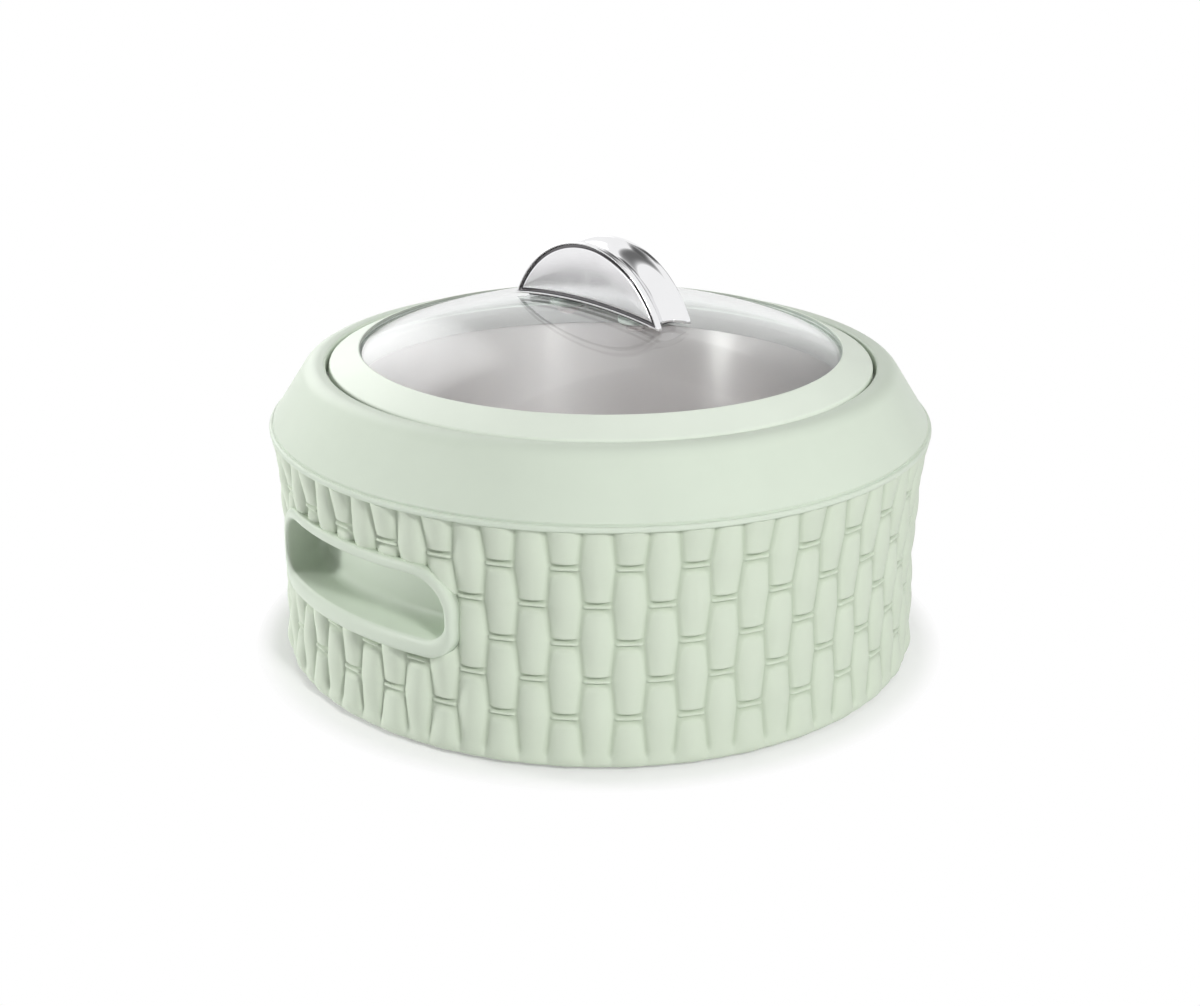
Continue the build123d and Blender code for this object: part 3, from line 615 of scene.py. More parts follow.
def grip_rings(grip):
    """Outlines and radii of the rings that make a grip, from its pocket's back round to the cup's back.

    Inside the opening a ring is the opening's outline drawn in. On the bezel it lies a share of the
    way from the opening's outline to the bezel's. Roundings are quarter circles in share and radius.
    """
    def grown(by):
        """The opening's outline moved outwards, or inwards where by is negative."""
        return slot_outline(
            grip.half_length + by, grip.opening_low - by, grip.opening_high + by,
            max(grip.corner_low + by, 0), max(grip.corner_high + by, 0),
        )

    def between(part):
        """An outline that lies a share of the way from the opening's to the bezel's."""
        return opening + (bezel - opening) * part

    opening = grown(0)
    cup = grown(grip.wall)
    bezel = slot_outline(
        grip.half_length + grip.bezel_side,
        grip.opening_low - grip.bezel_bottom,
        grip.opening_high + grip.bezel_top,
        grip.corner_low + grip.bezel_side,
        grip.corner_high + grip.bezel_side,
    )
    half_height = (grip.opening_high - grip.opening_low) / 2
    middle = (grip.opening_low + grip.opening_high) / 2
    spine = slot_outline(grip.half_length - half_height, middle, middle, 0, 0)
    mouth_share = 0.5
    edge_share = 0.36
    mouth_round = mouth_share * grip.bezel_side
    edge_round = edge_share * grip.bezel_side
    pocket = grip.pocket_round
    pocket_radius = grip.bezel_radius - grip.depth
    wall_low = pocket_radius + pocket
    wall_high = grip.bezel_radius - mouth_round
    cup_back = pocket_radius - grip.wall
    turn = [(1 - np.cos(a), np.sin(a)) for a in quarter(9)]
    rings = [(spine, pocket_radius)]
    rings += [(grown(-by), pocket_radius) for by in np.linspace(grip.corner_low, pocket, 4)]
    rings += [(grown(-pocket * (1 - rise)), pocket_radius + pocket * way) for way, rise in turn[1:]]
    rings += [(opening, wall_low + (wall_high - wall_low) * t) for t in (0.06, 0.35, 0.65, 0.94)]
    rings += [(between(mouth_share * way), wall_high + mouth_round * rise) for way, rise in turn]
    rings += [
        (between(1 - edge_share * (1 - rise)), grip.bezel_radius - edge_round * way) for way, rise in turn
    ]
    rings += [(bezel, grip.land_radius), (cup, grip.land_radius)]
    rings += [(cup, grip.land_radius + (cup_back - grip.land_radius) * t) for t in (0.3, 0.7, 1)]
    rings += [(grown(-by), cup_back) for by in np.linspace(0, grip.corner_low, 4)]
    return rings + [(spine, cup_back)]


def grip_grid(grip, side):
    """Points of a grip on side -1 or 1: each ring's outline wrapped on the cylinder of its radius."""
    rings = grip_rings(grip)
    outlines = np.stack([outline for outline, _ in rings], 1)
    radii = np.array([radius for _, radius in rings])
    across = outlines[..., 0]
    return np.stack((side * np.sqrt(radii ** 2 - across ** 2), across, outlines[..., 1]), -1)


def dome_height(lid, radius, offset=0.0):
    """Height of the glass's outer sphere, or of a sphere offset outwards from it, at a radius."""
    centre = lid.glass_top - lid.dome_radius
    return centre + np.sqrt((lid.dome_radius + offset) ** 2 - radius ** 2)


def half_moon(lid, handle, step, arc_steps=72):
    """Outline of the handle across X for a step: an arc above and the pad's sphere below.

    A step is (drawn in at the arc, drawn in at the seat, x). The arc's radius is smaller and the
    sphere's larger by what they are drawn in. They meet where both circles have the same height, and
    the points below lie under the points of the arc.
    """
    arc_inset, seat_inset, x = step
    arc = handle.arc_radius - arc_inset
    seat = lid.dome_radius + handle.pad_thickness + seat_inset
    seat_circle = sqrt(seat ** 2 - x ** 2)
    arc_centre = handle.top - handle.arc_radius
    dome_centre = lid.glass_top - lid.dome_radius
    gap = arc_centre - dome_centre
    level = (seat_circle ** 2 - arc ** 2 - gap ** 2) / (2 * gap)
    corner = atan2(sqrt(arc ** 2 - level ** 2), level)
    angle = np.linspace(-corner, corner, arc_steps)
    across = arc * np.sin(angle)
    above = arc_centre + arc * np.cos(angle)
    below = dome_centre + np.sqrt(seat_circle ** 2 - across ** 2)
    return np.concatenate((np.stack((across, above), -1), np.stack((across, below), -1)[1:-1][::-1]))


def closing_ring(outline):
    """The half-moon outline folded flat onto the line midway between its arc and its lower edge."""
    steps = len(outline) // 2 + 1
    top = outline[:steps]
    lower = np.concatenate((outline[:1], outline[steps:][::-1], outline[steps - 1:steps]))
    middle = (top + lower) / 2
    return np.concatenate((middle, middle[1:-1][::-1]))


def moon_grid(lid, handle, steps):
    """Rings of half-moon outlines. The first and last are folded flat, which closes both ends."""
    rings = [half_moon(lid, handle, step) for step in steps]
    rings = [closing_ring(rings[0])] + rings + [closing_ring(rings[-1])]
    places = [step[2] for step in steps[:1] + steps + steps[-1:]]
    outlines = np.stack(rings, 1)
    x = np.broadcast_to(np.array(places), outlines.shape[:2])
    return np.stack((x, outlines[..., 0], outlines[..., 1]), -1)


def handle_steps(handle):
    """Steps of the handle from its +X face to its -X face: recess, bright border, flange, saddle.

    Between the flanges the arc is drawn in by the saddle, a circle through both flange edges that
    is as deep as the finger groove at its middle.
    """
    half = handle.half_width
    edge = handle.edge_round
    border = handle.face_border
    floor = half - handle.face_depth
    floor_inset = 1.4 * border
    inner_round = 0.3 * edge
    saddle_steps = 41
    steps = [(floor_inset, floor_inset, floor), (border, border, floor)]
    for t in (0, 0.5, 1):
        inset = border - inner_round * t
        steps.append((inset, inset, half - inner_round * (1 - t)))
    for angle in quarter(6):
        inset = edge * (1 - np.sin(angle))
        steps.append((inset, inset, half - edge * (1 - np.cos(angle))))
    groove_half = half - handle.flange
    flange_edge = groove_half + 0.25 * edge + 0.1 * handle.flange
    steps.append((0, 0, flange_edge))
    saddle = (groove_half ** 2 + handle.saddle_depth ** 2) / (2 * handle.saddle_depth)
    across = groove_half * np.cos(np.linspace(0, pi, saddle_steps))
    depth = handle.saddle_depth - saddle + np.sqrt(saddle ** 2 - across ** 2)
    middle = [(max(d, 0), 0, x) for d, x in zip(depth, across)]
    return steps + middle + [(a, b, -x) for a, b, x in reversed(steps)]


def plate_steps(handle, side):
    """Steps of a satin face: a thin half-moon plate with a rounded edge and a slight crown."""
    back = handle.half_width - handle.face_depth + FINE_ROUND
    front = handle.half_width - 0.25 * handle.face_depth
    gap = handle.face_border + handle.face_groove
    edge = 0.3 * handle.face_depth
    crown = 0.15 * handle.face_depth
    crown_width = 0.008
    steps = [(gap + edge, back), (gap, back)]
    for angle in quarter(5):
        steps.append((gap + edge * (1 - np.cos(angle)), front - edge * (1 - np.sin(angle))))
    for width in (0.0005, 0.002, 0.0045, 0.007):
        steps.append((gap + edge + width, front + crown * (1 - (1 - width / crown_width) ** 2)))
    return [(inset, inset, side * x) for inset, x in steps]


def mark_painted_seam_shadow(lid, mesh):
    """Attribute that is 1 on the face of the lip that meets the glass and 0 elsewhere: where the ring gets a
    painted shadow line.

    It rises from the lip's rounded edge downwards, on points that lie at the window's radius.
    """
    x, y, z = vertex_places(mesh)
    seam_width = 0.3 * lid.lip
    seam_rise = 0.25 * lid.lip
    at_window = np.hypot(x, y) < lid.window_radius + seam_width
    set_values(mesh, "relief", at_window * smooth_step(0, seam_rise, lid.ring_high - z))


def mark_painted_recess_shade(lid, handle, mesh):
    """Attribute that is 1 in the recesses of the handle's faces and 0 elsewhere: where the chrome gets
    painted shade.

    A point lies in a recess where it is further than the border from the arc and from the seat's
    sphere, and beyond the finger groove.
    """
    x, y, z = vertex_places(mesh)
    from_arc = handle.arc_radius - np.hypot(y, z - (handle.top - handle.arc_radius))
    seat = lid.dome_radius + handle.pad_thickness
    from_seat = np.sqrt(x ** 2 + y ** 2 + (z - lid.glass_top + lid.dome_radius) ** 2) - seat
    border_edge = 0.9 * handle.face_border
    inside = smooth_step(border_edge, handle.face_border, np.minimum(from_arc, from_seat))
    set_values(mesh, "recess", inside * (np.abs(x) > handle.half_width - handle.flange))


# Shader node groups and finishes

def fill(node, inputs):
    """Give inputs of a node their values or links."""
    for socket, value in inputs.items():
        if isinstance(value, bpy.types.NodeSocket):
            node.id_data.links.new(value, node.inputs[socket])
        else:
            node.inputs[socket].default_value = value


def outputs_of(tree, kind, inputs=None, **settings):
    """Outputs of a new shader node with settings and inputs."""
    made = tree.nodes.new("ShaderNode" + kind)
    for key, value in settings.items():
        setattr(made, key, value)
    fill(made, inputs or {})
    return made.outputs


def combine(tree, operation, first, second, kind="Math"):
    """Two values, or vectors where kind is VectorMath, joined by a mathematical operation."""
    return outputs_of(tree, kind, {0: first, 1: second}, operation=operation)[0]


def noise(tree, place, scale, detail=2.0, **more):
    """Noise from 0 to 1."""
    return outputs_of(tree, "TexNoise", {"Vector": place, "Scale": scale, "Detail": detail, **more})["Fac"]


def spread(tree, value, start, end, value_low=0.0, value_high=1.0):
    """Value from value_low to value_high mapped to start to end."""
    return outputs_of(tree, "MapRange", {
        "Value": value, "From Min": value_low, "From Max": value_high, "To Min": start, "To Max": end,
    })["Result"]


def tint(tree, base, other, factor):
    """Two colours mixed by a factor that changes over the surface."""
    return outputs_of(tree, "Mix", {"Factor": factor, 6: base, 7: other}, data_type="RGBA")[2]


def bump(tree, height, distance, strength=0.6):
    """Normal bumped by a height."""
    return outputs_of(tree, "Bump", {"Height": height, "Distance": distance, "Strength": strength})["Normal"]


def attribute(tree, name):
    """Value of a mesh attribute."""
    return outputs_of(tree, "Attribute", attribute_name=name)["Fac"]


def shaded(base, factor):
    """A colour made darker or lighter by a factor."""
    return tuple(value * factor for value in base[:3]) + (1,)


def new_group(name, scale_name, scale, outputs):
    """Empty shader node group with a place and a scale as inputs and named values as outputs."""
    tree = bpy.data.node_groups.new(name, "ShaderNodeTree")
    tree.interface.new_socket("Vector", in_out="INPUT", socket_type="NodeSocketVector")
    socket = tree.interface.new_socket(scale_name, in_out="INPUT", socket_type="NodeSocketFloat")
    socket.default_value = scale
    for output in outputs:
        tree.interface.new_socket(output, in_out="OUTPUT", socket_type="NodeSocketFloat")
    entry = tree.nodes.new("NodeGroupInput").outputs
    leave = tree.nodes.new("NodeGroupOutput")
    return tree, entry["Vector"], entry[scale_name], leave


def grain_group():
    """Matt moulding grain: fine height for a bump, and a slow cloudy tone."""
    tree, place, grains, leave = new_group("Moulding grain", "Grains per metre", 2500.0, ("Height", "Tone"))
    clouds_per_grain = 0.016
    clouds = combine(tree, "MULTIPLY", grains, clouds_per_grain)
    fill(leave, {
        "Height": noise(tree, place, grains, detail=3.0, Roughness=0.6),
        "Tone": noise(tree, place, clouds),
    })


def brushing_group():
    """Turned brushing: thin streaks that run round the upright axis, on walls and floors alike."""
    outputs = ("Streak", "Cloud")
    tree, place, streaks, leave = new_group("Turned brushing", "Streaks per metre", 3000.0, outputs)
    clouds = 22.0
    streak_bend = (0.012, 0.012, 0.0)
    parts = outputs_of(tree, "SeparateXYZ", {"Vector": place})
    flat = outputs_of(tree, "CombineXYZ", {"X": parts["X"], "Y": parts["Y"]})[0]
    away = outputs_of(tree, "VectorMath", {0: flat}, operation="LENGTH")["Value"]
    line = outputs_of(tree, "CombineXYZ", {"X": combine(tree, "ADD", away, parts["Z"])})[0]
    bend = combine(tree, "MULTIPLY", place, streak_bend, "VectorMath")
    along = combine(tree, "ADD", line, bend, "VectorMath")
    fill(leave, {
        "Streak": noise(tree, along, streaks, detail=4.0, Roughness=0.7),
        "Cloud": noise(tree, place, clouds),
    })


def marks_group():
    """Handling marks: soft smudges with a clear middle, as a mask from 0 to 1."""
    tree, place, marks, leave = new_group("Handling marks", "Marks per metre", 45.0, ("Mask",))
    cloud = noise(tree, place, marks, detail=5.0, Roughness=0.62, Distortion=0.6)
    fill(leave, {"Mask": spread(tree, cloud, 0.0, 1.0, value_low=0.46, value_high=0.72)})


def new_finish(name):
    """Node tree of a new material, with its Principled shader and Object coordinates."""
    material = bpy.data.materials.new(name)
    material.use_nodes = True
    tree = material.node_tree
    return tree, tree.nodes["Principled BSDF"], outputs_of(tree, "TexCoord")["Object"]


def effect(tree, group_name, place, scale):
    """Outputs of a named node group, placed in a material with its own scale."""
    return outputs_of(tree, "Group", {0: place, 1: scale}, node_tree=bpy.data.node_groups[group_name])


def mix_surface(tree, factor, first, second):
    """Two shaders mixed by a factor as the surface of a material."""
    mix = outputs_of(tree, "MixShader", {0: factor, 1: first, 2: second})
    fill(tree.nodes["Material Output"], {"Surface": mix[0]})


def plastic_finish(name, base, rough, grains, depth, painted_shade_colour=None):
    """Moulded plastic: cloudy colour, grain bump and, where a piece has it, painted shade that darkens its
    crevices or seam.
    """
    tree, shader, place = new_finish(name)
    grain = effect(tree, "Moulding grain", place, grains)
    dark = shaded(base, 0.96)
    light = shaded(base, 1.03)
    skin = tint(tree, dark, light, grain["Tone"])
    # Painted shade: the colour goes towards a dark tone where the relief attribute is high, standing in for
    # the shade of crevices and seams.
    if painted_shade_colour is not None:
        most = 0.6
        deep = spread(tree, attribute(tree, "relief"), 0.0, most, value_low=0.62)
        skin = tint(tree, skin, painted_shade_colour, deep)
    fill(shader, {
        "Base Color": skin,
        "Roughness": spread(tree, grain["Height"], rough - ROUGH_FALL, rough + ROUGH_RISE),
        "Normal": bump(tree, grain["Height"], depth),
    })


def metal_finish(name, base, rough, depth, marks=None, streaks=None, stretch=0.0, recess=None):
    """Metal with turned brushing or handling marks in its roughness and, where asked, painted shade in its
    recesses.
    """
    tree, shader, place = new_finish(name)
    if streaks is None:
        grains = 6000.0
        grain = effect(tree, "Moulding grain", place, grains)
        height = grain["Height"]
        cloud = grain["Tone"]
        worn = effect(tree, "Handling marks", place, marks)["Mask"]
    else:
        brushing = effect(tree, "Turned brushing", place, streaks)
        height = brushing["Streak"]
        cloud = brushing["Cloud"]
        worn = height
        around = outputs_of(tree, "Tangent", direction_type="RADIAL", axis="Z")[0]
        fill(shader, {"Anisotropic": stretch, "Anisotropic Rotation": 0.25, "Tangent": around})
    dark = shaded(base, 0.93)
    skin = tint(tree, dark, base, cloud)
    # Painted shade: the chrome's colour goes dark in the handle's recesses, standing in for the shadow in
    # the groove round each face.
    if recess is not None:
        skin = tint(tree, skin, recess, attribute(tree, "recess"))
    fill(shader, {
        "Base Color": skin,
        "Metallic": 1.0,
        "Roughness": spread(tree, worn, rough, rough + ROUGH_RISE),
        "Normal": bump(tree, height, depth, strength=0.5),
    })


def glass_finish(base):
    """Clear glass with faint handling marks. Lamp rays pass straight through it to what lies below."""
    tree, shader, place = new_finish("Clear glass")
    smudge = effect(tree, "Handling marks", place, scale=30.0)["Mask"]
    dull = shaded(base, 0.985)
    skin = tint(tree, base, dull, smudge)
    fill(shader, {"Base Color": skin, "Roughness": 0.0, "Transmission Weight": 1.0, "IOR": 1.5})
    lamp_tone = shaded(base, 0.94)
    clear = outputs_of(tree, "BsdfTransparent", {"Color": lamp_tone})[0]
    mix_surface(tree, outputs_of(tree, "LightPath")["Is Shadow Ray"], shader.outputs[0], clear)


def foam_finish(base):
    """Rigid foam: small cells in colour and bump."""
    tree, shader, place = new_finish("Rigid foam")
    cells = outputs_of(tree, "TexVoronoi", {"Vector": place, "Scale": 900.0})["Distance"]
    dark = shaded(base, 0.8)
    skin = tint(tree, dark, base, cells)
    fill(shader, {"Base Color": skin, "Roughness": 0.9, "Normal": bump(tree, cells, distance=0.0006)})


# Operators

class FinishesOperator(bpy.types.Operator):
    """Make the shader node groups and the finishes of all pieces"""

    bl_idname = "casserole.finishes"
    bl_label = "Finishes"

    def execute(self, context):
        colours = context.scene.casserole.colours
        for make in (grain_group, brushing_group, marks_group):
            make()
        # Name, colour, roughness, grains per metre, depth of the grain and colour of the painted shade in
        # crevices and seams
        plastic_finish("Woven plastic", colours.woven, 0.5, 2600.0, 0.00006, colours.woven_painted_shade)
        plastic_finish("Smooth plastic", colours.smooth, 0.4, 3200.0, 0.00002)
        plastic_finish("Lid plastic", colours.lid, 0.45, 3200.0, 0.000015, colours.lid_seam_painted_shadow)
        # The retainer's dark grey is painted shade seen through the glass's edge.
        plastic_finish("Retainer plastic", colours.retainer, 0.4, 3200.0, 0.000015)
        plastic_finish("Silicone", colours.seal, 0.5, 2400.0, 0.00002)
        # The pad's near-black is rubber and also painted shadow under the handle.
        plastic_finish("Pad rubber", colours.pad, 0.6, 2400.0, 0.00003)
        plastic_finish("Foot rubber", colours.rubber, 0.7, 1800.0, 0.00005)
        # Name, colour, roughness, depth of the bump, and marks or streaks per metre
        metal_finish("Bowl steel", colours.steel, 0.36, 0.000001, streaks=4000.0, stretch=0.9)
        # Polished chrome gets painted shade in the handle's recesses.
        metal_finish("Polished chrome", colours.chrome, 0.05, 0.000001, marks=60.0, recess=colours.recess)
        metal_finish("Frosted satin", colours.satin, 0.16, 0.000004, marks=50.0)
        metal_finish("Screw steel", colours.steel, 0.22, 0.000004, streaks=5000.0, stretch=0.4)
        metal_finish("Turned brass", colours.brass, 0.25, 0.000004, streaks=5000.0, stretch=0.4)
        glass_finish(colours.glass)
        foam_finish(colours.foam)
        return {"FINISHED"}


class WovenWallOperator(bpy.types.Operator):
    """Build the woven wall with its two grip openings"""

    bl_idname = "casserole.woven_wall"
    bl_label = "Woven wall"

    def execute(self, context):
        settings = context.scene.casserole
        grip = settings.grip
        points, relief = weave_grid(settings.weave)
        faces = grid_faces(*relief.shape, True, True)
        flat = points.reshape(-1, 3)
        middle = flat[faces].mean(1)
        past = outside_slot(grip, middle[:, 1], middle[:, 2])
        at_side = np.abs(middle[:, 0]) > grip.half_length
        faces = faces[~(at_side & (past < grip.wall / 2))]
        used = np.zeros(len(flat), bool)
        used[faces] = True
        number = np.cumsum(used) - 1
        mesh = make_mesh("woven_wall", flat[used], number[faces], merge=False)
        close_openings(mesh)
        # The relief attribute also sets how much painted shade the weave's grooves and slits get.
        set_values(mesh, "relief", relief.ravel()[used])
        show("woven_wall", mesh)
        return {"FINISHED"}


class GripsOperator(bpy.types.Operator):
    """Build the two finger grips"""

    bl_idname = "casserole.grips"
    bl_label = "Finger grips"

    def execute(self, context):
        grip = context.scene.casserole.grip
        for name, side in (("finger_grip_left", -1), ("finger_grip_right", 1)):
            show_grids(name, [grip_grid(grip, side)])
        return {"FINISHED"}


class CollarOperator(bpy.types.Operator):
    """Build the collar with its bead and rounded shoulder"""

    bl_idname = "casserole.collar"
    bl_label = "Collar"

    def execute(self, context):
        settings = context.scene.casserole
        collar = settings.collar
        weave = settings.weave
        bead_top = weave.top + collar.bead_height
        bead_round = 0.4 * collar.bead_height
        cone_round = 0.2 * collar.bead_height
        cone_radius = collar.radius - collar.cone_step
        slope = (cone_radius - collar.shoulder_radius) / (collar.top - bead_top)
        ledge_low = collar.ledge_height - collar.ledge_thickness
        spigot_radius = weave.inner_radius - FINE_ROUND
        spigot_bore = spigot_radius - collar.ledge_thickness
        web_top = bead_top + collar.cone_step

        def cone(height):
            """Radius of the cone's outside at a height."""
            return cone_radius - (height - bead_top) * slope

        corners = (
            (collar.radius, weave.top, bead_round),
            (collar.radius, bead_top, bead_round),
            (collar.radius - collar.bead_groove, bead_top, 0),
            (cone(web_top), web_top, cone_round),
            (collar.shoulder_radius, collar.top, collar.shoulder_round),
            (collar.lip_radius, collar.top, collar.lip_round),
            (collar.lip_radius, collar.ledge_height, 0),
            (collar.ledge_radius, collar.ledge_height, 0),
            (collar.ledge_radius, ledge_low, 0),
            (cone(ledge_low) - collar.wall, ledge_low, 0),
            (cone(web_top) - collar.wall, web_top, 0),
            (spigot_bore, web_top, 0),
            (spigot_bore, collar.spigot_low, 0),
            (spigot_radius, collar.spigot_low, 0),
            (spigot_radius, weave.top, 0),
        )
        show_turned("collar_moulding", corners, arc_steps=9)
        return {"FINISHED"}


class BowlOperator(bpy.types.Operator):
    """Build the pressed steel bowl"""

    bl_idname = "casserole.bowl"
    bl_label = "Steel bowl"

    def execute(self, context):
        bowl = context.scene.casserole.bowl
        sheet_edge = 0.3 * bowl.sheet
        corners = (
            (0, bowl.bottom + bowl.sheet, 0),
            (bowl.floor_radius, bowl.bottom + bowl.sheet, bowl.corner),
            (bowl.mouth_radius, bowl.top, bowl.rim_round),
            (bowl.rim_radius, bowl.top, sheet_edge),
            (bowl.rim_radius, bowl.top - bowl.sheet, sheet_edge),
            (bowl.mouth_radius + bowl.sheet, bowl.top - bowl.sheet, bowl.rim_round - bowl.sheet),
            (bowl.floor_radius + bowl.sheet, bowl.bottom, bowl.corner + bowl.sheet),
            (0, bowl.bottom, 0),
        )
        show_turned("steel_bowl", corners, closed=False, arc_steps=13)
        return {"FINISHED"}


class FeetOperator(bpy.types.Operator):
    """Build the rubber feet"""

    bl_idname = "casserole.feet"
    bl_label = "Feet"

    def execute(self, context):
        corner_low, corner_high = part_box("feet")
        sole = corner_low.z
        top = corner_high.z
        radius = 0.009
        sole_round = 0.0006
        hollow_mouth = 0.62 * radius
        hollow_radius = 0.55 * radius
        hollow_top = 0.2 * top
        hollow_round = 0.0004
        corners = (
            (0, top, 0),
            (radius, top, 0),
            (radius, sole, sole_round),
            (hollow_mouth, sole, hollow_round),
            (hollow_radius, hollow_top, hollow_round),
            (0, hollow_top, 0),
        )
        place = corner_high.x - radius
        centres = [(x * place, y * place) for x in (-1, 1) for y in (-1, 1)]
        show_turned("rubber_feet", corners, closed=False, centres=centres)
        return {"FINISHED"}


class LidOperator(bpy.types.Operator):
    """Build the lid's ring, glass, gasket, retainer and seal"""

    bl_idname = "casserole.lid"
    bl_label = "Lid"

    def execute(self, context):
        lid = context.scene.casserole.lid
        self.ring(lid)
        self.glass(lid)
        self.gasket(lid)
        self.retainer(lid)
        self.seal()
        return {"FINISHED"}

    def ring(self, lid):
        """Sloping ring: outer edge, lip over the glass, rebate for the gasket and groove for the seal."""
        seal_top = high("lid_seal")
        seal_gap = 0.0003
        groove_width = 0.0036
        groove_outer = reach("lid_seal") + seal_gap
        groove_inner = groove_outer - groove_width
        low_round = 0.0004
        lip_round = 0.0006
        lip_low_round = 0.0002
        rebate = lid.gasket_radius + FIT
        corners = (
            (lid.radius, lid.ring_low, low_round),
            (lid.radius, lid.edge_height, lid.edge_round),
            (lid.window_radius, lid.ring_high, lip_round),
            (lid.window_radius, lid.ring_high - lid.lip, lip_low_round),
            (rebate, dome_height(lid, rebate, lid.gasket_leg), 0),
            (rebate, lid.ring_low, 0),
            (groove_inner, lid.ring_low, 0),
            (groove_inner, seal_top, 0),
            (groove_outer, seal_top, 0),
            (groove_outer, lid.ring_low, 0),
        )
        # The attribute marks where the ring gets a painted shadow line at the seam.
        mark_painted_seam_shadow(lid, show_turned("lid_ring_moulding", corners, arc_steps=9))

    def glass(self, lid):
        """Dome between two spheres, closed by a slightly rounded edge."""
        edge_round = 0.0006
        dome_steps = 60
        radius = (lid.glass_radius - edge_round) * np.linspace(0, 1, dome_steps)
        radius = np.append(radius[:-1], lid.glass_radius)
        upper = dome_height(lid, radius)
        lower = dome_height(lid, radius, -lid.glass_thickness)
        upper[-1] -= edge_round
        lower[-1] += edge_round
        outline = np.concatenate((np.stack((radius, upper), -1), np.stack((radius, lower), -1)[::-1]))
        show_grids("dome_glass", [turned(outline)])

    def gasket(self, lid):
        """Soft channel round the glass edge: outer and inner outline follow the dome's spheres."""
        inner = lid.glass_radius - lid.gasket_cover
        outer = lid.gasket_radius
        channel = lid.glass_radius + FIT
        over = FIT / 2
        under = -lid.glass_thickness - FIT / 2
        leg = lid.gasket_leg
        places = (
            (inner, leg), (outer, leg), (outer, under - leg), (inner, under - leg),
            (inner, under), (channel, under), (channel, over), (inner, over),
        )
        corners = [(radius, dome_height(lid, radius, offset), 0) for radius, offset in places]
        show_turned("gasket_channel", corners, arc_steps=4)

    def retainer(self, lid):
        """Ring that clamps the gasket from below, with a skirt that plugs into the bowl's mouth."""
        offset = -lid.glass_thickness - lid.gasket_leg - FIT
        rim = 0.0008
        top_round = 0.0003
        skirt_round = 0.0008
        inner_round = 0.001
        inner = lid.retainer_inner
        outer = lid.gasket_radius
        rim_high = dome_height(lid, outer, offset)
        skirt_low = low("lid_retainer")
        corners = (
            (inner, dome_height(lid, inner, offset), top_round),
            (outer, rim_high, 0),
            (outer, rim_high - rim, 0),
            (lid.skirt_radius, rim_high - rim, 0),
            (lid.skirt_radius, skirt_low, skirt_round),
            (lid.skirt_radius - lid.skirt_wall, skirt_low, skirt_round),
            (inner, lid.ring_low, inner_round),
        )
        show_turned("retainer_ring", corners)

    def seal(self):
        """Soft ring under the lid, with a rounded lower face that lies on the bowl's rim."""
        corner_low, corner_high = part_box("lid_seal")
        width = 0.003
        top_round = 0.0002
        low_round = 0.0007
        outer = corner_high.x
        inner = outer - width
        corners = (
            (inner, corner_high.z, top_round),
            (outer, corner_high.z, top_round),
            (outer, corner_low.z, low_round),
            (inner, corner_low.z, low_round),
        )
        show_turned("lid_seal_ring", corners)


class HandleOperator(bpy.types.Operator):
    """Build the half-moon handle with its satin faces and soft pad"""

    bl_idname = "casserole.handle"
    bl_label = "Handle"

    def execute(self, context):
        lid = context.scene.casserole.lid
        handle = context.scene.casserole.handle
        casting = show_grids("handle_casting", [moon_grid(lid, handle, handle_steps(handle))])
        mark_painted_recess_shade(lid, handle, casting)
        for name, side in (("handle_plate_left", -1), ("handle_plate_right", 1)):
            show_grids(name, [moon_grid(lid, handle, plate_steps(handle, side))])
        self.pad(lid)
        return {"FINISHED"}

    def pad(self, lid):
        """Thin pad on the glass: an upright edge with rounded corners, and faces that bulge to a ridge.

        Each ring is the outline drawn in by an inset, at a share of the thickness above the dome.
        """
        corner_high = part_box("handle_pad")[1]
        half_width = corner_high.x
        thickness = 0.00078
        corner = 0.0022
        rings = []
        for inset, part in ((half_width, 0.06), (0, 0.3), (0, 0.7), (half_width, 1)):
            size = max(corner - inset, 0)
            across = half_width - inset
            outline = slot_outline(corner_high.y - inset, -across, across, size, size)
            y, x = outline.T
            rings.append(np.stack((x, y, dome_height(lid, np.hypot(x, y), part * thickness)), -1))
        show_grids("handle_pad_soft", [np.stack(rings, 1)])


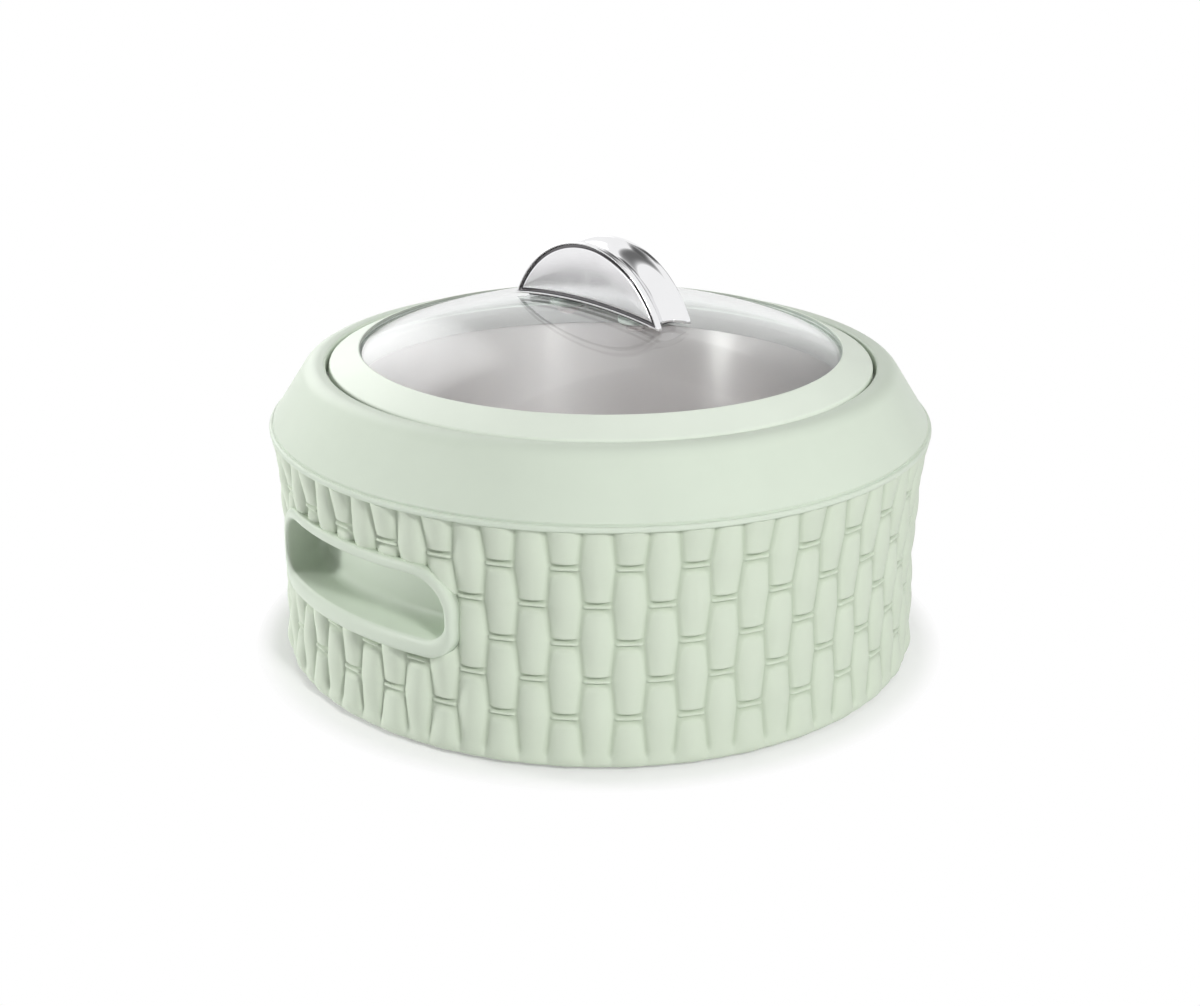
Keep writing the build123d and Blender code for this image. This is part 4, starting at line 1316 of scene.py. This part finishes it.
class FasteningsOperator(bpy.types.Operator):
    """Build the grommets, washers and screws under the glass"""

    bl_idname = "casserole.fastenings"
    bl_label = "Fastenings"

    def execute(self, context):
        place = context.scene.casserole.handle.screw_place
        centres = [(0, -place), (0, place)]
        bore = 0.0021
        self.grommets(centres, bore)
        self.washers(centres, bore)
        self.screws(centres)
        return {"FINISHED"}

    def grommets(self, centres, bore):
        """Grommets: flange under the glass, sleeve in the glass and bore for the screw."""
        corner_low, corner_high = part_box("handle_grommets")
        flange = corner_high.x
        flange_top = corner_low.z + 0.0014
        flange_round = 0.0004
        small_round = 0.0003
        sleeve = 0.004
        corners = (
            (bore, corner_low.z, 0),
            (flange, corner_low.z, flange_round),
            (flange, flange_top, small_round),
            (sleeve, flange_top + small_round, 0),
            (sleeve, corner_high.z, small_round),
            (bore, corner_high.z, 0),
        )
        show_turned("glass_grommets", corners, centres=centres)

    def washers(self, centres, bore):
        """Washers: flat rings."""
        corner_low, corner_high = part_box("handle_washers")
        edge_round = 0.0002
        corners = (
            (bore, corner_low.z, 0),
            (corner_high.x, corner_low.z, edge_round),
            (corner_high.x, corner_high.z, edge_round),
            (bore, corner_high.z, 0),
        )
        show_turned("flat_washers", corners, centres=centres)

    def screws(self, centres):
        """Screws with a domed head, whose cross recess is pressed in along two crossed bars."""
        corner_low, corner_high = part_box("handle_screws")
        head = corner_high.x
        washer = 0.0008
        shank = 0.002
        point = 0.0006
        head_steps = 40
        crown_power = 1.2
        seat = high("handle_washers") - washer
        dome = 0.9 * (seat - corner_low.z)
        radius = head * np.linspace(0, 1, head_steps)
        face = corner_low.z + dome * (1 - np.sqrt(1 - (radius / head) ** 2)) ** crown_power
        rest = np.array((
            (head, seat), (shank + FINE_ROUND, seat), (shank, seat + FINE_ROUND),
            (shank, corner_high.z - point), (shank - point, corner_high.z), (0, corner_high.z),
        ))
        outline = np.concatenate((np.stack((radius, face), -1), rest))
        recess_depth = 0.0011
        bar_edge = (0.00035, 0.0006)
        arm_end = (0.0019, 0.0022)
        grids = []
        for centre in centres:
            grid = turned(outline, SMALL_TURN_STEPS, centre)
            away = np.abs(grid[:, :head_steps, :2] - np.array(centre))
            bar = 1 - smooth_step(*bar_edge, away.min(-1))
            arm = 1 - smooth_step(*arm_end, away.max(-1))
            grid[:, :head_steps, 2] += recess_depth * bar * arm
            grids.append(grid)
        show_grids("pan_screws", grids)


class InnerPiecesOperator(bpy.types.Operator):
    """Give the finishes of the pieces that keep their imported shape"""

    bl_idname = "casserole.inner_pieces"
    bl_label = "Base cover and inner pieces"

    def execute(self, context):
        for node, finish in PACKED_FINISHES.items():
            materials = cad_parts[node].data.materials
            materials.clear()
            materials.append(bpy.data.materials[finish])
        return {"FINISHED"}


class StageOperator(bpy.types.Operator):
    """Set up the floor, the soft light and the camera"""

    bl_idname = "casserole.stage"
    bl_label = "Stage"

    def execute(self, context):
        scene = context.scene
        scene.view_settings.view_transform = "Standard"
        self.floor()
        self.world(scene)
        for card in CARDS:
            self.card(*card)
        for lamp in LAMPS:
            self.lamp(*lamp)
        self.camera(scene)
        return {"FINISHED"}

    def sheet(self, name, centre, along, across, steps):
        """Stage sheet of centre + u along + v across, for u and v from -1 to 1, and its u and v."""
        side = np.linspace(-1, 1, steps)
        u, v = np.meshgrid(side, side, indexing="ij")
        points = np.array(centre) + u[..., None] * np.array(along) + v[..., None] * np.array(across)
        mesh = make_mesh(name, points, grid_faces(steps, steps, False, False), merge=False)
        mesh.materials.append(bpy.data.materials[name])
        sheet = add_object(name, mesh)
        return sheet, u, v

    def white_share(self, tree):
        """1 for rays from the camera, mirrors and glass, and 0 for light that falls on surfaces."""
        path = outputs_of(tree, "LightPath")
        seen = combine(tree, "MAXIMUM", path["Is Camera Ray"], path["Is Glossy Ray"])
        return combine(tree, "MAXIMUM", seen, path["Is Transmission Ray"])

    def floor(self):
        """Pale floor whose shader keeps the shadow and adds white for seen rays, less under the body."""
        tree, shader, place = new_finish("floor")
        pale = (0.93, 0.93, 0.93, 1)
        paler = shaded(pale, 1.02)
        skin = tint(tree, pale, paler, noise(tree, place, scale=3.0))
        fill(shader, {"Base Color": skin, "Roughness": 0.9})
        glow = outputs_of(tree, "Emission", {"Strength": 1.0})[0]
        away = outputs_of(tree, "VectorMath", {0: place}, operation="LENGTH")["Value"]
        white_under_body = 0.3
        by_place = spread(tree, away, white_under_body, 1.0, value_low=0.123, value_high=0.132)
        white = combine(tree, "MULTIPLY", self.white_share(tree), by_place)
        mix_surface(tree, white, shader.outputs[0], glow)
        half_side = 3
        self.sheet("floor", (0, 0, 0), (-half_side, 0, 0), (0, half_side, 0), 9)

    def world(self, scene):
        """White surroundings at full strength where they are seen, and softer as light."""
        scene.world = bpy.data.worlds.new("White room")
        scene.world.use_nodes = True
        tree = scene.world.node_tree
        soft_light = 0.24
        strength = spread(tree, self.white_share(tree), soft_light, 1.0)
        fill(tree.nodes["Background"], {"Color": (1, 1, 1, 1), "Strength": strength})

    def card(self, name, centre, along, across, strength):
        """Flat card that only mirrors see, and that fades out towards its edges."""
        tree = new_finish(name)[0]
        glow = outputs_of(tree, "Emission", {"Strength": strength})[0]
        clear = outputs_of(tree, "BsdfTransparent")[0]
        mix_surface(tree, attribute(tree, "cover"), clear, glow)
        card, u, v = self.sheet(name, centre, along, across, 17)
        set_values(card.data, "cover", (1 - u ** 4) * (1 - v ** 4))
        card.visible_camera = False
        card.visible_diffuse = False
        card.visible_shadow = False
        card.visible_transmission = False

    def lamp(self, name, direction, distance, side, power):
        """Square soft lamp that looks at the middle of the casserole and isn't seen in mirrors."""
        light = bpy.data.lights.new(name, "AREA")
        light.size = side
        light.energy = power
        lamp = add_object(name, light)
        lamp.visible_glossy = False
        azimuth, elevation = np.radians(direction)
        level = np.cos(elevation)
        away = Vector((np.cos(azimuth) * level, np.sin(azimuth) * level, np.sin(elevation)))
        lamp.location = Vector((0, 0, cad_box[1][2] / 2)) + distance * away
        lamp.rotation_euler = (-away).to_track_quat("-Z", "Y").to_euler()

    def camera(self, scene):
        """Camera at the photograph's place: distance from the axis, height, direction, pitch and roll."""
        data = bpy.data.cameras.new("camera")
        data.sensor_fit = "HORIZONTAL"
        data.sensor_width = 36
        data.lens = 54
        heading = radians(-43.4)
        distance = 0.6428
        height = 0.2926
        down = radians(20.65)
        roll = radians(0.33)
        place = Vector((distance * np.sin(heading), -distance * np.cos(heading), height))
        turn = Matrix.Rotation(heading, 4, "Z") @ Matrix.Rotation(pi / 2 - down, 4, "X")
        scene.camera = add_object("camera", data)
        scene.camera.matrix_world = Matrix.Translation(place) @ turn @ Matrix.Rotation(roll, 4, "Z")


class CasserolePanel(bpy.types.Panel):
    """Sidebar panel with the steps and the sizes"""

    bl_idname = "VIEW3D_PT_casserole"
    bl_label = "Casserole"
    bl_space_type = "VIEW_3D"
    bl_region_type = "UI"
    bl_category = "Casserole"

    def draw(self, context):
        settings = context.scene.casserole
        for operator in OPERATORS:
            self.layout.operator(operator.bl_idname)
        for name in CasseroleSettings.__annotations__:
            group = getattr(settings, name)
            box = self.layout.box()
            box.label(text=name.capitalize())
            for key in group.__annotations__:
                box.prop(group, key)


OPERATORS = (
    FinishesOperator, WovenWallOperator, GripsOperator, CollarOperator, BowlOperator, FeetOperator,
    LidOperator, HandleOperator, FasteningsOperator, InnerPiecesOperator, StageOperator,
)
GROUPS = (
    WeaveSizes, GripSizes, CollarSizes, BowlSizes, LidSizes, HandleSizes, Colours, CasseroleSettings,
)


def register():
    """Register the settings, operators and panel."""
    for item in GROUPS + OPERATORS + (CasserolePanel,):
        bpy.utils.register_class(item)
    bpy.types.Scene.casserole = PointerProperty(type=CasseroleSettings)


def unregister():
    """Remove what register added."""
    del bpy.types.Scene.casserole
    for item in reversed(GROUPS + OPERATORS + (CasserolePanel,)):
        bpy.utils.unregister_class(item)


def main():
    """Build everything in order."""
    register()
    for operator in OPERATORS:
        area, name = operator.bl_idname.split(".")
        getattr(getattr(bpy.ops, area), name)()


if __name__ == "__main__":
    main()
